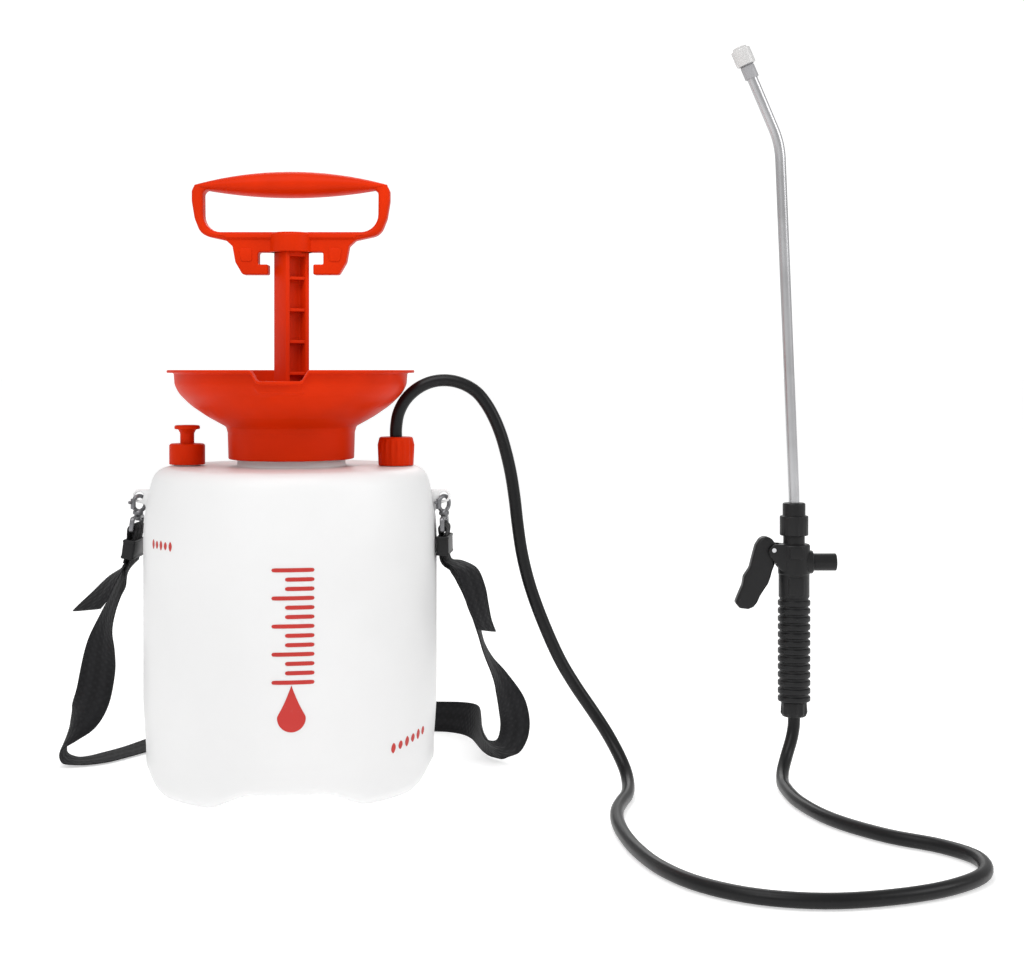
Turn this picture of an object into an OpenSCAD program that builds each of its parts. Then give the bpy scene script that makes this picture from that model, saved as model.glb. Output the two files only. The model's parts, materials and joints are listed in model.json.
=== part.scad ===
// Hand pump pressure sprayer: translucent tank, filling funnel, plunger pump, relief valve,
// outlet hose, hand valve with lance and nozzle, and a shoulder strap. Millimetres, +Z up, front is -Y.
// The origin is on the floor, on the tank's axis.

/* [Tank] */
// Outside diameter of the tank
tank_d = 200; // [190:1:210]
// Height of the flat top above the floor
tank_h = 215; // [212:1:220]
// Wall thickness
wall = 2.6; // [2:0.1:3]
// Height of the arches between the feet
arch_h = 10.5; // [8:0.5:13]
// Turn of the feet about the tank's axis, in degrees
foot_turn = 5.5; // [0:0.5:10]

/* [Filling neck and funnel] */
// Outside radius of the filling neck
neck_r = 37; // [36.5:0.1:37.2]
// Top of the filling neck
neck_top = 236; // [235:0.5:236]
// Radius of the funnel's rim
funnel_r = 84.5; // [80:0.5:88]
// Height of the funnel's rim above the floor
funnel_top = 281; // [278:0.5:284]

/* [Pump] */
// Outside radius of the pump cylinder
cylinder_r = 20; // [19:0.5:22]
// Bore radius of the pump cylinder
cylinder_bore = 17.2; // [16.5:0.1:17.5]
// Width of the square that the H-section rod fills
rod_w = 18; // [17:0.2:18]
// Turn of the rod's section about its axis, in degrees
rod_turn = 36; // [0:1:90]

/* [Handle] */
// Width of the handle
handle_w = 140; // [130:1:150]
// Thickness of the handle's frame, front to back
handle_t = 14; // [12:1:18]

/* [Ports] */
// Distance of the relief valve and the outlet from the tank's axis
port_x = 72; // [70:0.5:74]

/* [Hand valve and lance] */
// Distance of the hand valve from the tank's axis
wand_x = 346.5; // [340:0.5:350]
// Outside radius of the lance tube
lance_r = 3.65; // [3:0.05:4]
// Lean of the lance's long leg, in degrees
lance_lean = 2.3; // [1:0.1:4]
// Further bend to the lance's short leg, in degrees
lance_bend = 20.6; // [10:0.2:30]

/* [Hose and strap] */
// Outside radius of the hose
hose_r = 4.25; // [3.5:0.05:5]
// Width of the webbing
strap_w = 25; // [20:1:30]
// Thickness of the webbing
strap_t = 1.6; // [1.2:0.1:2]

/* [Hidden] */
$fn = 96;

orange = "orangered";
black = "#1c1c1e";
white = "whitesmoke";

tank_r = tank_d / 2;
base_corner = 8;     // radius of the tank's bottom corner
base_r = 98;         // the wall draws in to this above the corner
dome_z = 165;        // where the shoulder's dome starts
dome_r = 150;        // radius of the dome's profile
top_corner = 12;     // radius between the dome and the flat top
arch_low = 54;       // half width of an arch at the floor
arch_high = 21;      // half width of an arch at its top
neck_bore = neck_r - 3;

boss_r = 9;          // the two threaded bosses on the tank's top
boss_bore = 6.5;
boss_top = 220;

ear_x = 105;         // centre of the strap ears' holes
ear_z = 194.2;
ear_hole = 2.9;

roof_z = neck_top + 1.5;     // underside of the funnel's seat, on its gasket
roof_top = roof_z + 3.5;     // the pump's gasket lies here
flange_z = roof_top + 2;     // underside of the pump cap's flange
flange_top = flange_z + 4;
lug_z = flange_top + 12;     // underside of the locking lugs
lug_top = lug_z + 5.5;
guide_r = 13.2;              // bore that guides the rod

piston_z = 146;      // underside of the raised piston
piston_top = 168;
hub_z = 362;         // underside of the handle's hub, where the rod's shoulder rests
pin_z = 368;         // cross pin through the hub and the rod

/* ---- helpers ---- */

function unit(v) = v / norm(v);
function flat(v, t) = unit(v - (v * t) * t);
function along(p, i) = unit(p[min(i + 1, len(p) - 1)] - p[max(i - 1, 0)]);
function sides_of(p) = [for (i = 0, n = flat([0, 1, 0.01], along(p, 0)); i < len(p);
    i = i + 1, n = i < len(p) ? flat(n, along(p, i)) : n) n];
function ring(n, t, r, sides) = [for (k = [0 : sides - 1])
    r * (cos(k * 360 / sides) * n + sin(k * 360 / sides) * cross(t, n))];
function quad(a, b, c, d) = [[a, c, b], [a, d, c]];
function skin(rings, sides) = [for (i = [0 : rings - 2], k = [0 : sides - 1])
    for (f = quad(i * sides + k, i * sides + (k + 1) % sides,
        (i + 1) * sides + (k + 1) % sides, (i + 1) * sides + k)) f];
function lids(rings, sides) = [
    [for (k = [0 : sides - 1]) k],
    [for (k = [sides - 1 : -1 : 0]) (rings - 1) * sides + k]];

// A round tube swept along points
module sweep(p, r, sides) {
    n = sides_of(p);
    points = [for (i = [0 : len(p) - 1]) for (q = ring(n[i], along(p, i), r, sides)) p[i] + q];
    polyhedron(points, concat(skin(len(p), sides), lids(len(p), sides)));
}

// A flat band swept along rows of [point, direction across the band]
module band(rows) {
    p = [for (row = rows) row[0]];
    points = [for (i = [0 : len(p) - 1])
        let (t = along(p, i), w = flat(rows[i][1], t) * strap_w / 2, n = cross(t, unit(w)) * strap_t / 2)
        for (q = [w + n, n - w, -w - n, w - n]) p[i] + q];
    // both broad faces are split along the same diagonal, so a twisted stretch keeps its thickness
    faces = [for (i = [0 : len(p) - 2], k = [0 : 3])
        let (a = i * 4 + k, b = i * 4 + (k + 1) % 4, c = b + 4, d = a + 4)
        for (f = k == 2 ? [[a, d, b], [b, d, c]] : quad(a, b, c, d)) f];
    polyhedron(points, concat(faces, lids(len(p), 4)));
}

// A coil spring standing on the XY plane
module coil(height, r, wire, turns) {
    steps = 10 * turns;
    sweep([for (i = [0 : steps]) [r * cos(i * 36), r * sin(i * 36), wire + (height - 2 * wire) * i / steps]], wire, 6);
}

module tube_z(z0, z1, r_out, r_in) {
    translate([0, 0, z0]) difference() {
        cylinder(h = z1 - z0, r = r_out);
        translate([0, 0, -1]) cylinder(h = z1 - z0 + 2, r = r_in);
    }
}

module rod_z(z0, z1, r) {
    translate([0, 0, z0]) cylinder(h = z1 - z0, r = r);
}

// A solid whose profile lies in the XZ plane, centred on Y
module slab_y(width) {
    rotate([90, 0, 0]) translate([0, 0, -width / 2]) linear_extrude(width) children();
}

/* ---- tank ---- */

// Half profile of the tank's outside, moved inwards by t
module tank_profile(t) {
    lean = asin((tank_h - dome_z - top_corner) / (dome_r - top_corner));
    cx = tank_r - dome_r;
    corner_x = cx + (dome_r - top_corner) * cos(lean);
    corner_z = dome_z + (dome_r - top_corner) * sin(lean);
    intersection() {
        translate([0, t]) square([tank_r - t, tank_h - 2 * t]);
        union() {
            polygon([[0, base_corner], [base_r - t, base_corner], [base_r - t, 22], [tank_r - t, 58],
                [tank_r - t, dome_z], [0, dome_z]]);
            square([base_r - base_corner, dome_z]);
            translate([base_r - base_corner, base_corner]) circle(base_corner - t);
            intersection() {
                translate([cx, dome_z]) circle(dome_r - t, $fn = 200);
                translate([0, dome_z - 1]) square([tank_r, corner_z - dome_z + 1 + (top_corner - t) * sin(lean)]);
            }
            translate([corner_x, corner_z]) circle(top_corner - t);
            translate([0, dome_z]) square([corner_x, tank_h - dome_z - t]);
        }
    }
}

// The two arches that cross under the tank, moved inwards by t
module arches(t) {
    rise = arch_low - arch_high;
    side = t / cos(atan(arch_h / rise));
    for (turn = [0, 90]) rotate([0, 0, turn + foot_turn]) slab_y(2 * tank_r + 20)
        polygon([
            [-arch_low - rise * (side + 1) / arch_h, -1], [-arch_high - rise * (side - t) / arch_h, arch_h + t],
            [arch_high + rise * (side - t) / arch_h, arch_h + t], [arch_low + rise * (side + 1) / arch_h, -1]]);
}

module strap_ear() {
    slab_y(2.4) difference() {
        union() {
            translate([ear_x, ear_z]) circle(4.6);
            translate([ear_x - 15, ear_z - 4.6]) square([15, 9.2]);
            polygon([[ear_x - 10, ear_z - 14], [ear_x - 1, ear_z - 4.5], [ear_x - 10, ear_z]]);
        }
        translate([ear_x, ear_z]) circle(ear_hole);
    }
}

module tank() {
    color(white, 0.6) difference() {
        union() {
            difference() {
                rotate_extrude() tank_profile(0);
                arches(0);
            }
            rod_z(tank_h - wall, neck_top, neck_r);
            for (z = [neck_top - 12, neck_top - 6]) rod_z(z, z + 2, neck_r + 1.6);
            for (x = [-port_x, port_x]) translate([x, 0, 0]) rod_z(tank_h - wall, boss_top, boss_r);
            strap_ear();
            mirror([1, 0, 0]) strap_ear();
        }
        difference() {
            rotate_extrude() tank_profile(wall);
            arches(wall);
        }
        rod_z(tank_h - wall - 1, neck_top + 1, neck_bore);
        for (x = [-port_x, port_x]) translate([x, 0, 0]) rod_z(tank_h - wall - 1, boss_top + 1, boss_bore);
    }
}

/* ---- filling funnel ---- */

funnel_skirt = neck_r + 2.2;

module funnel() {
    color(orange) difference() {
        rotate_extrude() polygon([
            [31, roof_z], [funnel_skirt, roof_z], [funnel_skirt, 220], [43, 220], [43.5, 238],
            [44.4, 242], [56.8, 249], [68.4, 257], [76.3, 265], [79.2, 271], [79.8, funnel_top - 2],
            [funnel_r, funnel_top - 2], [funnel_r, funnel_top], [77.8, funnel_top], [77.2, 271.6],
            [74.6, 266.3], [67.2, 258.8], [55.8, 250.9], [43, roof_top], [31, roof_top]]);
        // pouring notch in the front of the rim
        rotate([0, 0, 2]) translate([0, -funnel_r, 0]) slab_y(40)
            polygon([[-15, funnel_top - 7], [-19, funnel_top + 1], [19, funnel_top + 1], [15, funnel_top - 7]]);
    }
}

module funnel_gasket() {
    color(black) tube_z(neck_top, roof_z, neck_r, neck_bore + 0.2);
}

/* ---- pump ---- */

collar_r = 24;      // collar of the cylinder inside the cap
plug_z = 233;       // lower end of the cap's plug and of the cylinder's collar
foot_z = 40;        // underside of the cylinder's end wall

module pump_cylinder() {
    color(orange) difference() {
        union() {
            rod_z(foot_z, flange_z - 3, cylinder_r);
            rod_z(plug_z + 1, flange_z - 0.2, collar_r - 0.1);
        }
        rod_z(foot_z + 3, flange_z + 1, cylinder_bore);
        rod_z(foot_z - 1, foot_z + 4, 3);
        for (a = [45 : 90 : 315]) rotate([0, 0, a]) translate([6, 0, 0]) rod_z(foot_z - 1, foot_z + 4, 1.2);
    }
}

module pump_cap() {
    color(orange) difference() {
        union() {
            rod_z(plug_z, flange_z + 1, 30.6);
            rod_z(flange_z, flange_top, 38);
            for (a = [0 : 30 : 330]) rotate([0, 0, a]) translate([38, 0, 0]) rod_z(flange_z, flange_top, 1.6);
            rod_z(flange_top - 1, lug_top, guide_r + 1.6);
            intersection() {
                rod_z(lug_z, lug_top, 21.4);
                translate([-9, -25, lug_z]) cube([18, 50, 6]);
            }
        }
        rod_z(plug_z - 1, flange_z, collar_r);
        rod_z(flange_z - 1, lug_top + 1, guide_r);
    }
}

module pump_gasket() {
    color(black) tube_z(roof_top, flange_z, 36, 31.2);
}

// Rubber mushroom that lets air out of the cylinder and no liquid in
module check_valve() {
    color(black) union() {
        rod_z(foot_z - 2, foot_z, 9);
        rod_z(foot_z - 1, foot_z + 4, 2.9);
        rod_z(foot_z + 3.1, foot_z + 5, 4.4);
    }
}

/* ---- plunger ---- */

swivel_r = 5;       // rod's round end, which turns in the piston

module piston() {
    color(white) difference() {
        union() {
            rod_z(piston_z, piston_z + 5, cylinder_bore - 0.4);
            rod_z(piston_z, piston_z + 12, cylinder_bore - 3.4);
            rod_z(piston_z + 9, piston_z + 13, cylinder_bore - 0.4);
            rod_z(piston_z + 12, piston_top, 9);
        }
        rod_z(piston_z + 4, piston_top + 1, swivel_r + 0.06);
    }
}

module piston_seal() {
    color(black) tube_z(piston_z + 5, piston_z + 9, cylinder_bore - 0.06, cylinder_bore - 3.4);
}

// H-section: two flanges, a web, and bulkheads between the flanges
module rod() {
    color(orange) union() {
        rotate([0, 0, rod_turn]) {
            for (s = [-1, 1]) translate([s * (rod_w / 2 - 1.5) - 1.5, -rod_w / 2, piston_top + 0.4])
                cube([3, rod_w, hub_z - piston_top - 0.4]);
            translate([-rod_w / 2 + 1, -1.5, piston_top + 0.4]) cube([rod_w - 2, 3, hub_z - piston_top - 0.4]);
            for (z = [piston_top + 0.4 : 21.8 : hub_z - 4])
                translate([-rod_w / 2 + 1, -rod_w / 2 + 1, z]) cube([rod_w - 2, rod_w - 2, 2.4]);
            translate([-rod_w / 2 + 1, -rod_w / 2 + 1, hub_z - 3]) cube([rod_w - 2, rod_w - 2, 3]);
        }
        rod_z(piston_z + 4.4, piston_top + 1, swivel_r);
        difference() {
            rod_z(hub_z - 1, hub_z + 12, 8.5);
            translate([0, 0, pin_z]) rotate([90, 0, 0]) cylinder(h = 40, r = 2, center = true);
        }
    }
}

bar_top = 417.5;        // crown of the grip bar
bar_r = 250;            // radius of the crown's curve
bar_under = 399.6;      // lowest point of the bar's underside
frame_low = 370;        // underside of the frame

// A rectangle with round corners
module round_rect(x, z0, z1, r) {
    translate([-x, z0 + r]) square([2 * x, z1 - z0 - 2 * r]);
    translate([r - x, z0]) square([2 * (x - r), z1 - z0]);
    for (s = [-1, 1], z = [z0 + r, z1 - r]) translate([s * (x - r), z]) circle(r);
}

module handle() {
    half = handle_w / 2;
    color(orange) difference() {
        union() {
            slab_y(handle_t) difference() {
                intersection() {
                    round_rect(half, frame_low, bar_top, 16);
                    translate([0, bar_top - bar_r]) circle(bar_r, $fn = 200);
                    polygon([[-half, bar_top], [half, bar_top], [half, 392],
                        [half - 9, frame_low], [9 - half, frame_low], [-half, 392]]);
                }
                round_rect(half - 10, 377, 403, 8);
            }
            // grip bar: a lens seen from the front, with round edges
            intersection() {
                slab_y(40) intersection() {
                    translate([0, bar_top - bar_r]) circle(bar_r, $fn = 200);
                    translate([0, bar_under + 340]) circle(340, $fn = 200);
                    translate([-half + 2, 390]) square([handle_w - 4, 40]);
                }
                translate([-half, 0, 407]) rotate([0, 90, 0]) cylinder(h = handle_w, r = 14);
            }
            // hub plate and the two hooks
            slab_y(handle_t - 2) difference() {
                polygon([[-62, 377], [-44, 369.5], [-40, 366], [-38, 355], [-33, 346.5],
                    [33, 346.5], [38, 355], [40, 366], [44, 369.5], [62, 377]]);
                translate([-22.4, 353.5]) square([44.8, hub_z - 353.5]);
                translate([-15.5, 340]) square([31, 20]);
            }
            rod_z(hub_z, 375.5, 15);
        }
        rod_z(hub_z - 1, hub_z + 12, 8.55);
        translate([0, 0, pin_z]) rotate([90, 0, 0]) cylinder(h = 40, r = 2, center = true);
    }
}

module handle_pin() {
    color("silver") translate([0, 0, pin_z]) rotate([90, 0, 0]) cylinder(h = 28, r = 1.98, center = true);
}

/* ---- pressure relief valve ---- */

seat_z = boss_top + 1;      // underside of the seat's flange
seat_top = seat_z + 1.5;
relief_nut_top = 230.4;
stem_r = 4.8;

module relief_nut() {
    color(orange) translate([-port_x, 0, 0]) difference() {
        union() {
            rod_z(216, relief_nut_top, 12.2);
            for (a = [0 : 20 : 340]) rotate([0, 0, a]) translate([12, 0, 0]) rod_z(216, relief_nut_top - 1, 0.7);
        }
        rod_z(215, seat_z, boss_r + 0.2);
        rod_z(seat_z - 1, relief_nut_top - 2, boss_r - 0.2);
        rod_z(seat_z - 1, relief_nut_top + 1, stem_r + 0.4);
    }
}

module relief_gasket() {
    color(black) translate([-port_x, 0, 0]) tube_z(boss_top, seat_z, 8.6, boss_bore + 0.1);
}

module relief_seat() {
    color(black) translate([-port_x, 0, 0]) difference() {
        union() {
            rod_z(seat_z, seat_top, 8.6);
            rod_z(213, seat_z + 1, boss_bore - 0.1);
        }
        rod_z(212, seat_z - 0.5, 5);
        rod_z(212, seat_top + 1, 3.2);
    }
}

module relief_seal() {
    color(black) translate([-port_x, 0, 0]) tube_z(seat_top + 0.02, seat_top + 1.5, 6, 2.1);
}

module relief_stem() {
    color(orange) translate([-port_x, 0, 0]) {
        rod_z(seat_top + 1.5, seat_top + 2.7, 6.6);
        rod_z(seat_top + 2.5, 241, stem_r);
        rod_z(240, 243, 8.7);
        rod_z(206, seat_top + 2, 2);
        rod_z(205, 206.5, 4.4);
    }
}

module relief_spring() {
    color("silver") translate([-port_x, 0, 206.5]) coil(seat_z - 0.5 - 206.5, 3.4, 0.45, 6);
}

/* ---- outlet ---- */

outlet_top = 235;       // the hose leaves here

module outlet_nut() {
    color(orange) translate([port_x, 0, 0]) difference() {
        union() {
            rod_z(215.4, outlet_top, 12.1);
            for (a = [0 : 15 : 345]) rotate([0, 0, a]) translate([12, 0, 0]) rod_z(216, outlet_top - 1.5, 0.8);
        }
        rod_z(214, seat_z + 2.5, boss_r + 0.2);
        rod_z(214, outlet_top + 1, hose_r + 0.35);
    }
}

module outlet_gasket() {
    color(black) translate([port_x, 0, 0]) tube_z(boss_top, seat_z, 8.8, boss_bore + 0.1);
}

module outlet_barb() {
    color(black) translate([port_x, 0, 0]) difference() {
        union() {
            rod_z(seat_z, seat_z + 2.5, 8.8);
            rod_z(seat_z + 2, outlet_top, 4.1);
            rod_z(212, seat_z + 1, boss_bore - 0.2);
        }
        rod_z(211, 218, 4.05);
        rod_z(211, outlet_top + 1, 2.2);
    }
}

module dip_tube() {
    color(white) translate([port_x, 0, 0]) tube_z(30, 218, 4, 2.8);
}

module dip_filter() {
    color(black) translate([port_x, 0, 0]) difference() {
        union() {
            rod_z(18, 40, 6);
            for (z = [21 : 4 : 37]) rod_z(z, z + 1.2, 6.8);
        }
        rod_z(30, 41, 4.05);
        rod_z(20, 31, 3);
        for (z = [23 : 4 : 27], a = [0, 90]) rotate([0, 0, a]) translate([-10, -2, z]) cube([20, 4, 1.6]);
    }
}

/* ---- hose ---- */

hose_end = 42.4;     // it goes into the hand valve here

hose_route = [
    [port_x, 0, outlet_top], [port_x, 0, 240.5], [73.8, 0, 251.3], [78.9, 0, 260.9], [86.9, 0, 268.3],
    [96.8, 0, 272.9], [107.7, 0, 273.9], [118.3, 0, 271.4], [127.6, 0, 265.7], [134.5, 0, 257.2], [140, 0, 247.2],
    [144.3, 0, 236.5], [147.8, 0, 224.5], [151.2, 0, 209.5], [153.8, -0.5, 192.5], [156, -1.5, 173.5],
    [158.9, -2, 154.5], [163.8, -3, 134.5], [171.5, -4, 112.5], [184.5, -5, 83], [195.5, -6, 64.5], [207, -9, 48],
    [216.5, -14, 34], [223.5, -21, 22], [228, -31, 12.5], [229, -45, 6.4], [227, -63, 4.4], [222.5, -81, 4.4],
    [218.5, -100, 4.4], [216.8, -124, 4.4], [218.5, -154, 4.4], [224.5, -190, 4.4], [236, -226, 4.4],
    [254, -254, 4.4], [281, -274, 4.4], [315, -281.5, 4.4], [352, -275, 4.4], [387, -258.5, 4.4],
    [411.5, -234, 4.4], [416, -206, 4.4], [402, -182, 4.4], [375, -160, 4.4], [349, -124, 4.4], [336, -83, 4.4],
    [333, -50, 4.4], [333.6, -31, 4.7], [336, -17.5, 9], [340.4, -7.2, 17.3], [344.5, -2, 27.5],
    [346.2, -0.3, 35.2], [wand_x, 0, 39.4], [wand_x, 0, hose_end]];

module hose() {
    color(black) sweep(hose_route, hose_r, 10);
}

/* ---- hand valve ---- */

grip_z = 51;        // lower end of the grip
rib_top = 123;
body_z = 141;       // valve housing
body_top = 161;
valve_z = 148.6;    // axis of the valve
pivot_x = -15;      // trigger's pivot, from the grip's axis
pivot_z = 157.5;
guide_x = -11;      // where the valve stem leaves the housing
seat_x = 2.5;       // face that the valve's seal closes

module at_wand() {
    translate([wand_x, 0, 0]) children();
}

// Turns a shape on Z into one along +X, at the valve's height
module on_valve_axis() {
    translate([0, 0, valve_z]) rotate([0, 90, 0]) children();
}

module grip() {
    color(black) at_wand() difference() {
        union() {
            rod_z(grip_z, grip_z + 3, 7.4);
            rod_z(grip_z + 2, body_z + 1, 9.8);
            for (z = [grip_z + 2 : 5.5 : rib_top - 3]) rod_z(z, z + 3.4, 11.2);
            rod_z(rib_top, body_z + 1, 10.6);
            rod_z(body_z, body_top, 11);
            rod_z(body_top - 1, 176, 7.4);
            on_valve_axis() rod_z(0, 13, 8);
            // ears that hold the trigger's pin
            for (y = [-7.3, 7.3]) translate([0, y, 0]) slab_y(2.6) {
                translate([pivot_x, pivot_z]) circle(4);
                polygon([[pivot_x, pivot_z + 4], [-4, pivot_z + 3], [-4, 143], [-9, 143], [pivot_x - 3.5, pivot_z - 3]]);
            }
        }
        rod_z(grip_z - 1, 120, 5);
        translate([5.3, 0, 0]) rod_z(112, valve_z, 1.5);
        translate([-2, 0, 0]) rod_z(valve_z, 164, 1.6);
        rod_z(163, 177, lance_r + 0.05);
        on_valve_axis() rod_z(seat_x, 20, 5);
        on_valve_axis() rod_z(-4, seat_x + 1, 3);
        on_valve_axis() rod_z(-20, 0, 1.56);
        translate([pivot_x, 0, pivot_z]) rotate([90, 0, 0]) cylinder(h = 30, r = 1.5, center = true);
    }
}

module grip_cap() {
    color(black) at_wand() difference() {
        union() {
            rod_z(hose_end, grip_z + 1.6, 8.8);
            for (a = [0 : 30 : 330]) rotate([0, 0, a]) translate([8.7, 0, 0]) rod_z(hose_end + 1, grip_z + 1.6, 0.6);
        }
        rod_z(grip_z - 2, grip_z + 3, 7.5);
        rod_z(hose_end - 1, grip_z + 1, 4.4);
    }
}

module grip_barb() {
    color(black) at_wand() difference() {
        union() {
            rod_z(grip_z - 1.7, grip_z, 7.2);
            rod_z(grip_z - 1, grip_z + 6, 4.9);
            rod_z(hose_end, grip_z - 1, 3.4);
            for (z = [hose_end + 1, hose_end + 4]) rod_z(z, z + 1.4, 4);
        }
        rod_z(hose_end - 1, grip_z + 7, 1.8);
    }
}

module grip_filter() {
    color(white) at_wand() difference() {
        union() {
            rod_z(grip_z + 6, grip_z + 8, 4.9);
            rod_z(grip_z + 7, 108, 3.8);
        }
        rod_z(grip_z + 5, 106, 2.9);
        for (z = [64 : 7 : 99], a = [0, 90]) rotate([0, 0, a]) translate([-6, -1.5, z]) cube([12, 3, 4]);
    }
}

// Lever that the fingers squeeze towards the grip
module trigger() {
    color(black) at_wand() slab_y(11) difference() {
        union() {
            translate([pivot_x, pivot_z]) circle(3.5);
            polygon([[pivot_x, 161], [-15.8, 165], [-20.5, 166.8], [-24, 165], [-27, 160.5], [-29.3, 152],
                [-31, 145], [-35, 139], [-36, 133], [-39, 126], [-41, 121], [-38, 117.2], [-32, 116.5],
                [-28.5, 118], [-26, 121], [-24, 125.5], [-21.5, 129.5], [-18.4, 134], [-16.9, 138],
                [-15.6, 143], [-13.9, 147], [-13.9, 150.2], [-14, pivot_z]]);
        }
        translate([pivot_x, pivot_z]) circle(1.55);
    }
}

module trigger_pin() {
    color("silver") at_wand() translate([pivot_x, 0, pivot_z]) rotate([90, 0, 0])
        cylinder(h = 18, r = 1.49, center = true);
}

module valve_stem() {
    color("silver") at_wand() on_valve_axis() {
        translate([0, 0, -12]) sphere(1.5);
        rod_z(-12, seat_x + 2, 1.5);
        rod_z(seat_x + 1.5, seat_x + 4, 4.4);
    }
}

module valve_seal() {
    color(black) at_wand() on_valve_axis() tube_z(seat_x + 0.02, seat_x + 1.5, 4.3, 1.55);
}

module valve_spring() {
    color("silver") at_wand() on_valve_axis() translate([0, 0, seat_x + 4]) coil(9, 2.7, 0.4, 5);
}

module valve_cap() {
    color(black) at_wand() on_valve_axis() difference() {
        union() {
            rod_z(10.2, 13.5, 4.95);
            rod_z(13, 29, 6);
            for (a = [0 : 30 : 330]) rotate([0, 0, a]) translate([5.9, 0, 0]) rod_z(14, 28, 0.5);
        }
        rod_z(9, seat_x + 13, 3.6);
    }
}

/* ---- lance ---- */

nut_z = 167;
nut_step = 180.5;
nut_top = 189.5;
lance_z = 164;          // lower end of the lance tube, inside the hand valve
lean_z = 193;           // where the long leg starts to lean
bend_r = 60;            // bend radius of the tube's centreline
long_leg = 230.9;
short_leg = 52;
lance_wall = 1;

// The frame at the end of a bend towards -X that starts here and goes up
module after_bend(r, a) {
    translate([r * cos(a) - r, 0, r * sin(a)]) rotate([0, -a, 0]) children();
}

module bend(r, a, r_out) {
    translate([-r, 0, 0]) rotate([90, 0, 0]) rotate_extrude(angle = a) translate([r, 0]) circle(r_out);
}

// Solid along the lance's whole centreline, with this radius. A ball that stands proud by
// a hair's breadth closes the joint between a bend and a straight leg.
module lance_solid(r, extra) {
    ball = r + 0.02;
    translate([0, 0, lance_z - extra]) cylinder(h = lean_z - lance_z + extra, r = r);
    translate([0, 0, lean_z]) {
        sphere(ball);
        bend(bend_r, lance_lean, r);
        after_bend(bend_r, lance_lean) {
            sphere(ball);
            cylinder(h = long_leg, r = r);
            translate([0, 0, long_leg]) {
                sphere(ball);
                bend(bend_r, lance_bend, r);
                after_bend(bend_r, lance_bend) {
                    sphere(ball);
                    cylinder(h = short_leg + extra, r = r);
                }
            }
        }
    }
}

// The frame at the end of the lance, with +Z out of the nozzle
module at_nozzle() {
    at_wand() translate([0, 0, lean_z]) after_bend(bend_r, lance_lean) translate([0, 0, long_leg])
        after_bend(bend_r, lance_bend) translate([0, 0, short_leg]) children();
}

module lance_tube() {
    color("silver") at_wand() difference() {
        lance_solid(lance_r, 0);
        lance_solid(lance_r - lance_wall, 1);
    }
}

module lance_nut() {
    color(black) at_wand() difference() {
        union() {
            rod_z(nut_z, nut_step, 9.8);
            for (a = [0 : 20 : 340]) rotate([0, 0, a]) translate([9.6, 0, 0]) rod_z(nut_z + 0.5, nut_step - 1, 0.8);
            rod_z(nut_step - 1, nut_top, 7.8);
        }
        rod_z(nut_z - 1, 178.2, 7.55);
        rod_z(nut_z, nut_top + 1, lance_r + 0.1);
    }
}

module lance_seal() {
    color(black) at_wand() tube_z(176, 178, 7.4, lance_r + 0.06);
}

module nozzle_body() {
    color("gray") at_nozzle() difference() {
        union() {
            rod_z(-14, -4, 4.9);
            for (a = [0 : 60 : 300]) rotate([0, 0, a]) translate([4.2, 0, 0]) rod_z(-12, -7, 1.2);
            rod_z(-5, 2, 4.4);
        }
        rod_z(-15, 0, lance_r);
        rod_z(-1, 3, 2.4);
    }
}

module nozzle_core() {
    color("dimgray") at_nozzle() difference() {
        union() {
            rod_z(0.1, 5.4, 2.35);
            rod_z(2, 4, 4.2);
        }
        for (a = [0 : 90 : 270]) rotate([0, 0, a]) translate([2, -0.5, -1]) cube([3, 1, 8]);
    }
}

module nozzle_seal() {
    color(black) at_nozzle() tube_z(-3.4, -1.8, 5.2, 4.4);
}

module nozzle_cap() {
    color(white, 0.7) at_nozzle() difference() {
        union() {
            rod_z(-4, 8, 6.8);
            rod_z(7, 9.5, 5);
            for (a = [0 : 30 : 330]) rotate([0, 0, a]) translate([6.6, 0, 0]) rod_z(-3, 7, 0.6);
        }
        rod_z(-5, 5.9, 5.3);
        rod_z(4, 10, 0.8);
    }
}

/* ---- shoulder strap ---- */

loop_z = 170;       // underside of the hook's webbing bar
bar_h = 2.4;
bar_t = 3;
ring_r = 5.2;
lean_top = ear_z - ring_r;      // below this the webbing leads away from the tank
// For each side, -1 or 1: how far it leads away for each unit down, the turn about the
// vertical in degrees, and the height of the slider
function lean_of(side) = side < 0 ? 0.14 : 0.02;
function turn_of(side) = side < 0 ? -1 : 4;
function slider_z(side) = side < 0 ? 158.5 : 161;

// A point this far outwards from the middle of the webbing's two layers
function end_point(side, x, z) = let (out = x + lean_of(side) * max(0, lean_top - z))
    [side * (ear_x + out * cos(turn_of(side))), -out * sin(turn_of(side)), z];

// A solid whose profile lies in the YZ plane, centred on X
module slab_x(width) {
    translate([-width / 2, 0, 0]) rotate([90, 0, 90]) linear_extrude(width) children();
}

// Snap hook: a ring through the tank's ear, a swivel neck and a loop that holds the webbing
module strap_hook(side) {
    color("dimgray") translate([side * ear_x, 0, lean_top]) {
        rotate([0, 90, -40]) rotate_extrude() translate([ring_r, 0]) circle(1.3);
        rotate([0, -side * atan(lean_of(side)), -side * turn_of(side)]) translate([0, 0, -lean_top]) {
            rod_z(loop_z + 9.5, lean_top - ring_r + 0.6, 2.2);
            slab_x(bar_t) difference() {
                translate([-15, loop_z]) square([30, 10.6]);
                translate([-12.9, loop_z + bar_h]) square([25.8, 5.8]);
            }
        }
    }
}

module strap_hook_left() {
    strap_hook(-1);
}

module strap_hook_right() {
    strap_hook(1);
}

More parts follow.
